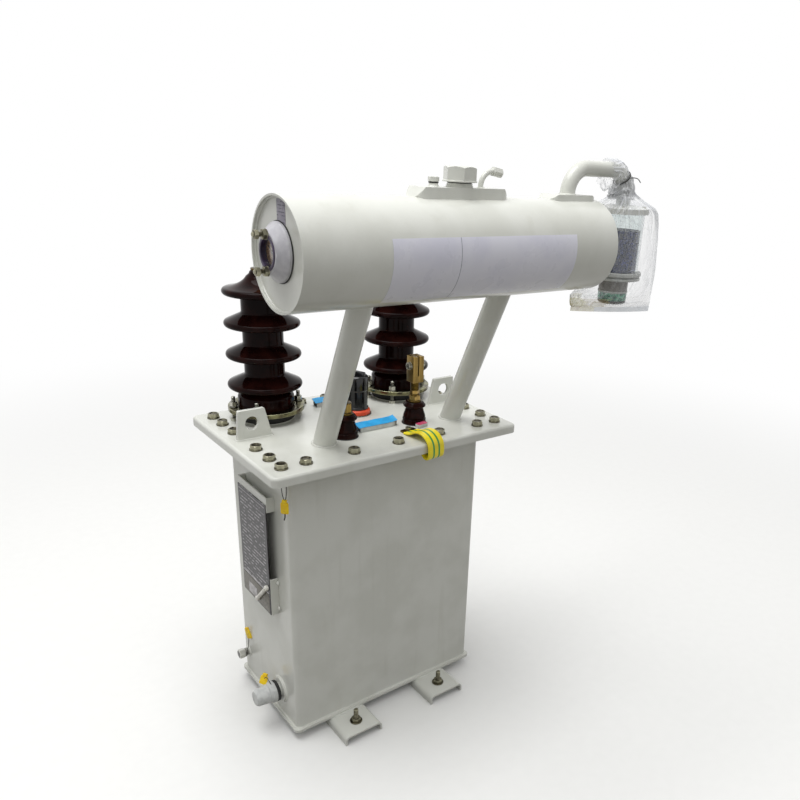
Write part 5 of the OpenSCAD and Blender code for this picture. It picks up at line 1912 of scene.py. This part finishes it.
        # Faces low on the left take the tinted film: a painted reflection.
        for k, face in enumerate(form.faces):
            corner = form.points[face[0]]
            rim = self.reflection_tint_x + self.reflection_tint_wander * noise.noise(corner / 9.0)
            if corner.x < rim and corner.z < self.reflection_tint_top:
                form.parts[k] = 3
        return form.piece("breather_bag_film", [FILM, GATHERED_FILM, WELDED_FILM, REFLECTION_TINTED_FILM], "film",
                          "breather_bag", crease=70.0)

    def sleeve(self) -> bpy.types.Object:
        """Builds the gathered film round the pipe's bend, crumpled, with its ragged mouth.

        Returns:
            The sleeve.
        """
        middle = Vector((self.x - self.bend, self.y, self.bend_z))
        path = [Vector((self.x, self.y, z)) for z in (1076.0, 1078.5, 1081.0)]
        steps = 44
        for i in range(steps + 1):
            a = math.radians(90.0 * i / steps)
            path.append(middle + Vector((self.bend * math.cos(a), 0.0, self.bend * math.sin(a))))
        path += [path[-1] - Vector((d, 0.0, 0.0)) for d in (2.0, 4.0, 6.0, 8.5, 11.0, 13.5, 16.0)]
        count, rings = 120, []
        for i, here in enumerate(path):
            t = i / (len(path) - 1)
            ahead = (path[min(i + 1, len(path) - 1)] - path[max(i - 1, 0)]).normalized()
            inner = Vector((0.0, 1.0, 0.0)).cross(ahead) * -1.0
            from_tie = abs(t - 0.47)
            bulge = min(1.0, from_tie / 0.2) ** 0.8
            row = []
            for a in angles(count):
                c, s = math.cos(a), math.sin(a)
                place = Vector((c * 1.3, s * 1.3, t * 3.4))
                rough = 1.2 + (2.2 + 4.6 * max(0.0, c)) * bulge
                crumple = abs(noise.fractal(place * 1.9, 1.2, 2.1, 3)) * rough
                gathers = abs(math.sin(a * 8.0 + 3.0 * noise.noise(place))) * (0.8 + 1.8 * bulge)
                web = 14.0 * bulge * max(0.0, c) ** 2
                r = self.pipe_r + 1.0 + 1.6 * bulge + web + crumple + gathers
                row.append(here + inner * r * c + Vector((0.0, 1.0, 0.0)) * r * s)
            if i == len(path) - 1:
                row = [p + ahead * 5.0 * noise.noise(Vector((k * 0.31, 2.0, 0.0))) for k, p in enumerate(row)]
            rings.append(row)
        form, tied = Form(), len(path) // 2
        form.skin(rings[: tied + 1], ends=False)
        form.skin(rings[tied:], 1, ends=False)
        return form.piece("breather_bag_sleeve", [GATHERED_FILM, FILM], "film", crease=60.0)

    def tie(self) -> None:
        """Winds the wire round the sleeve in the middle of the bend, and leaves its tail out."""
        a = math.radians(45.0)
        out = Vector((math.cos(a), 0.0, math.sin(a)))
        middle = Vector((self.x - self.bend, self.y, self.bend_z)) + out * self.bend
        side = Vector((0.0, -1.0, 0.0))
        turns = [math.tau * i / 48 for i in range(100)]
        loop = [middle + (out * math.cos(b) + side * math.sin(b)) * (self.pipe_r + 3.4)
                + out.cross(side) * (i * 0.03) for i, b in enumerate(turns)]
        form = Form()
        form.tube(loop, 0.8, count=8)
        start = middle + side * (self.pipe_r + 4.0)
        tail = [start, start + Vector((10.0, -2.0, 1.0)), start + Vector((26.0, 0.0, -0.5)),
                start + Vector((43.0, 6.0, -7.0))]
        form.tube(smoothed(tail, 8), 0.9, count=8)
        form.piece("bag_tie_wire", [WIRE], "zinc")

    def build(self) -> None:
        pieces = [self.body(), self.sleeve()]
        for piece in pieces:
            work = bmesh.new()
            work.from_mesh(piece.data)
            bmesh.ops.remove_doubles(work, verts=work.verts, dist=0.00001)
            work.to_mesh(piece.data)
            work.free()
        self.tie()


# Earth strap
@dataclass
class EarthStrap:
    """The flat striped strap that runs from a lug over the cover's front edge."""

    x: float = 58.2
    y: float = -190.0
    turn: float = 5.0
    wide: float = 40.0
    thick: float = 4.4
    # distance behind the cover's front edge, height over the cover's top
    path: tuple[Span, ...] = (
        (71.0, 2.2), (60.0, 3.7), (50.0, 7.5), (42.0, 12.0), (34.0, 14.6), (26.0, 15.6), (18.0, 15.0),
        (11.0, 12.6), (5.0, 9.0), (0.0, 4.2), (-3.4, -1.6), (-5.0, -8.0), (-5.6, -15.0), (-5.4, -22.0),
        (-3.6, -27.0), (0.0, -30.0), (4.5, -30.8), (9.0, -29.4), (13.0, -26.0), (17.0, -21.4),
        (22.0, -17.6), (29.0, -15.8), (42.0, -14.9))

    def build(self) -> None:
        """Sweeps the strap and adds its brass lug with a bolt."""
        at = Way.UP.at(self.x, self.y, COVER_TOP) @ spin(math.radians(self.turn))
        line = [at @ Vector((0.0, back, high)) for back, high in self.path]
        side = (at.to_3x3() @ Vector((1.0, 0.0, 0.0))).normalized()
        half, thin = self.wide / 2, self.thick / 2
        top = [Vector((-half + self.wide * i / 24, thin * (1.0 if 0 < i < 24 else 0.35))) for i in range(25)]
        section = top + [Vector((p.x, -p.y)) for p in top[::-1]]
        form = Form()
        form.swept(smoothed(line, 4), lambda gone: section, side=side)
        count = len(section)
        for k in range(len(form.across)):
            i = k % count
            form.across[k] = (i if i < 25 else 49 - i) / 24
        form.piece("earth_strap_striped", [STRAP_PVC], "strap", "earth_strap", crease=70.0)
        lug = Form()
        lug.slab(at, [p + Vector((0.0, 79.0)) for p in rounded(32.0, 16.0, 3.0)], 0.0, 4.0, 0.8)
        bolt = at @ slide(0.0, 80.0, 0.0)
        lug.hexagon(bolt, 11.0, 4.0, 9.0, part=1, dish=0.6)
        lug.piece("earth_lug_bolted", [BRASS, ZINC], "brass", "earth_lug")


# Nameplate
@dataclass
class Nameplate:
    """The bare etched plate held in its brackets, with the pin across its corner."""

    x: float = -237.5
    y: float = -4.0
    wide: float = 126.0
    holder_x: float = -221.0
    tack_y: float = -71.5
    tack_z: Span = (345.0, 287.0)
    pin_ends: tuple[Span, Span] = ((-14.0, 288.0), (-60.0, 335.0))

    def build(self) -> None:
        """Dresses the plate and its holder, and adds the plate's fields, its pin and the tacks."""
        dress_node("nameplate", ETCHED, 0.3)
        dress_node("nameplate_holder", PAINT, 0.8)
        form, face = Form(), Way.LEFT.at(self.x, 0.0, 0.0)
        into = face.inverted()

        def field_at(y: float, z: float, wide: float, high: float, part: int, out: float) -> None:
            """Adds one flat field of the plate.

            Args:
                y: Its middle along Y.
                z: Height of its middle.
                wide: Its width along Y.
                high: Its height.
                part: Which finish it takes.
                out: How far it stands out.
            """
            middle = into @ Vector((self.x, y, z))
            far = into @ Vector((self.x, y + wide / 2, z + high / 2)) - middle
            size = rounded(abs(far.x) * 2, abs(far.y) * 2, 0.4, 2)
            form.slab(face @ slide(middle.x, middle.y, 0.0), size, 0.0, out, 0.1, part)

        field_at(self.y, 298.0, self.wide - 6.0, 42.0, 3, 0.3)
        field_at(self.y, 323.0, self.wide - 6.0, 3.0, 1, 0.4)
        field_at(self.y, 508.0, self.wide - 10.0, 1.4, 1, 0.35)
        field_at(13.5, 292.5, 39.0, 23.0, 1, 0.5)
        pin = [Vector((self.x - 3.4, y, z)) for y, z in self.pin_ends]
        form.tube(spaced(pin, 8.0), 4.2, part=2, count=18)
        for y, z in self.pin_ends:
            form.disc(Way.LEFT.at(self.x, y, z), 5.2, 0.0, 6.6, 1.2, part=2, count=24)
        finishes = [ETCHED, ETCHED_FIELD, NATURAL_NYLON, ETCHED_PANEL]
        form.piece("nameplate_fields_and_pin", finishes, "nameplate")
        tacks = Form()
        for z in self.tack_z:
            at = Way.LEFT.at(self.holder_x, self.tack_y, z)
            tacks.turned(at, soften([(5.2, 0.0), (4.6, 1.6), (2.6, 3.0), (0.4, 3.4)], 1.0), 24)
        tacks.piece("nameplate_holder_tacks", [PAINT], "paint")


# Fittings low on the left wall
@dataclass
class WallFittings:
    """The drain with its collared cap, and the sampling plug."""

    wall_x: float = -220.0
    drain_y: float = -58.0
    drain_z: float = 83.0
    plug_y: float = 105.0
    plug_z: float = 78.0

    def build(self) -> None:
        """Builds the drain's cap and weld, and the plug."""
        dress_node("drain_stub", PAINT, 1.2)
        at = Way.LEFT.at(self.wall_x, self.drain_y, self.drain_z)
        cap = Form()
        line = [(8.0, 16.0), (22.0, 16.0), (22.0, 25.0), (19.4, 26.4), (19.4, 30.0), (20.2, 31.0),
                (19.0, 33.5), (17.6, 50.0), (17.6, 53.0), (15.0, 58.0), (4.0, 58.0)]
        cap.turned(at, soften(line, 1.2), 72)
        # The black gasket ring under the collar is also painted shade, for the dark gap there.
        cap.ring(at, 15.2, 22.0, 9.5, 15.9, 0.8, part=1)
        cap.weld(hoop(at, 27.0, 64), 2.4, part=2)
        cap.piece("drain_cap_turned", [SILVER_PAINT, RUBBER, PAINT], "paint", "drain_cap")
        plug = Form()
        at = Way.LEFT.at(self.wall_x, self.plug_y, self.plug_z)
        plug.turned(at, soften([(13.0, 0.0), (11.0, 2.5), (9.0, 3.5), (8.0, 3.5)], 1.0), 48)
        plug.thread(at, 9.0, 3.0, 13.0, 1, 1.9)
        plug.hexagon(at @ spin(0.25), 19.0, 12.0, 24.0, part=1, both=True, dish=1.0)
        # The black disc on the plug's end is painted shade, for the dark socket in it.
        plug.disc(at, 8.0, 22.6, 23.8, 0.3, part=2)
        plug.piece("sampling_plug_machined", [PAINT, ALUMINIUM, PHENOLIC], "paint", "sampling_plug")


@dataclass
class SealTags:
    """The yellow seals, each a small bare tag on twisted wire."""

    wire_r: float = 0.8
    cover_x: float = -241.0
    cover_y: float = -159.5
    cover_spread: float = 11.5

    def tag(self, form: Form, middle: Vector, size: Span, turn: float, way: Vector) -> None:
        """Adds one tag.

        Args:
            form: The form that it joins.
            middle: Its middle.
            size: Its width and height.
            turn: How far it leans, in degrees.
            way: What its face looks towards.
        """
        wide, high = size
        at = standing(middle, way) @ spin(math.radians(turn))
        form.slab(at, rounded(wide, high, 3.0), -1.4, 1.4, 0.6)
        form.slab(at @ slide(0.0, high / 2 + 2.0, 0.0), rounded(wide * 0.6, 7.0, 2.0), -2.6, 2.6, 1.0)

    def wire(self, form: Form, *places: tuple[float, float, float]) -> None:
        """Runs a wire smoothly through some points."""
        form.tube(smoothed([Vector(p) for p in places], 6), self.wire_r, 1, 8)

    def build(self) -> None:
        """Adds the three seals with their wires."""
        form, x, y = Form(), self.cover_x, self.cover_y
        self.tag(form, Vector((x, y, 549.0)), (14.5, 22.0), 0.0, Vector((-0.75, -0.66, 0.0)))
        for side in (-self.cover_spread, self.cover_spread):
            self.wire(form, (x, y, 562.0), (x, y + side * 0.7, 576.0), (x, y + side, 606.0))
        tail = [Vector((x, y, 538.5)), Vector((-241.5, -160.5, 533.0)), Vector((-242.5, -159.0, 526.0))]
        form.tube(smoothed(tail, 5), 1.3, 1, 8)
        self.tag(form, Vector((-223.6, 93.0, 131.0)), (15.0, 21.0), 22.0, Vector((-0.95, -0.3, 0.0)))
        self.wire(form, (-223.6, 93.0, 121.0), (-226.0, 92.0, 102.0), (-229.0, 93.5, 88.0),
                  (-230.0, 95.0, 76.0), (-230.0, 104.0, 67.5), (-230.0, 113.0, 71.0))
        self.tag(form, Vector((-246.0, -31.0, 98.0)), (17.0, 18.0), -40.0, Vector((-0.8, -0.5, 0.45)))
        self.wire(form, (-246.0, -34.0, 104.0), (-244.0, -42.0, 110.0), (-243.0, -56.0, 106.0),
                  (-242.0, -72.0, 98.0), (-242.0, -77.0, 84.0))
        form.piece("seal_tags_on_wires", [SEAL, WIRE], "label")


def main() -> None:
    """Builds the studio and every sub-assembly in turn."""
    studio = Studio()
    studio.camera()
    Tank().build()
    Cover().build()
    for side in Side:
        HighVoltageBushing(side).build()
        LowVoltageBushing(side).build()
    TapChanger().build()
    LabelHolder("front", 8.0, -62.0).build()
    LabelHolder("back", 9.0, 118.0).build()
    CoverMarker().build()
    Conservator().build()
    OilGauge().build()
    Breather().build()
    BreatherBag().build()
    EarthStrap().build()
    Nameplate().build()
    WallFittings().build()
    SealTags().build()
    studio.light()


if __name__ == "__main__":
    logging.basicConfig(level=logging.INFO, format="%(name)s: %(message)s")
    main()
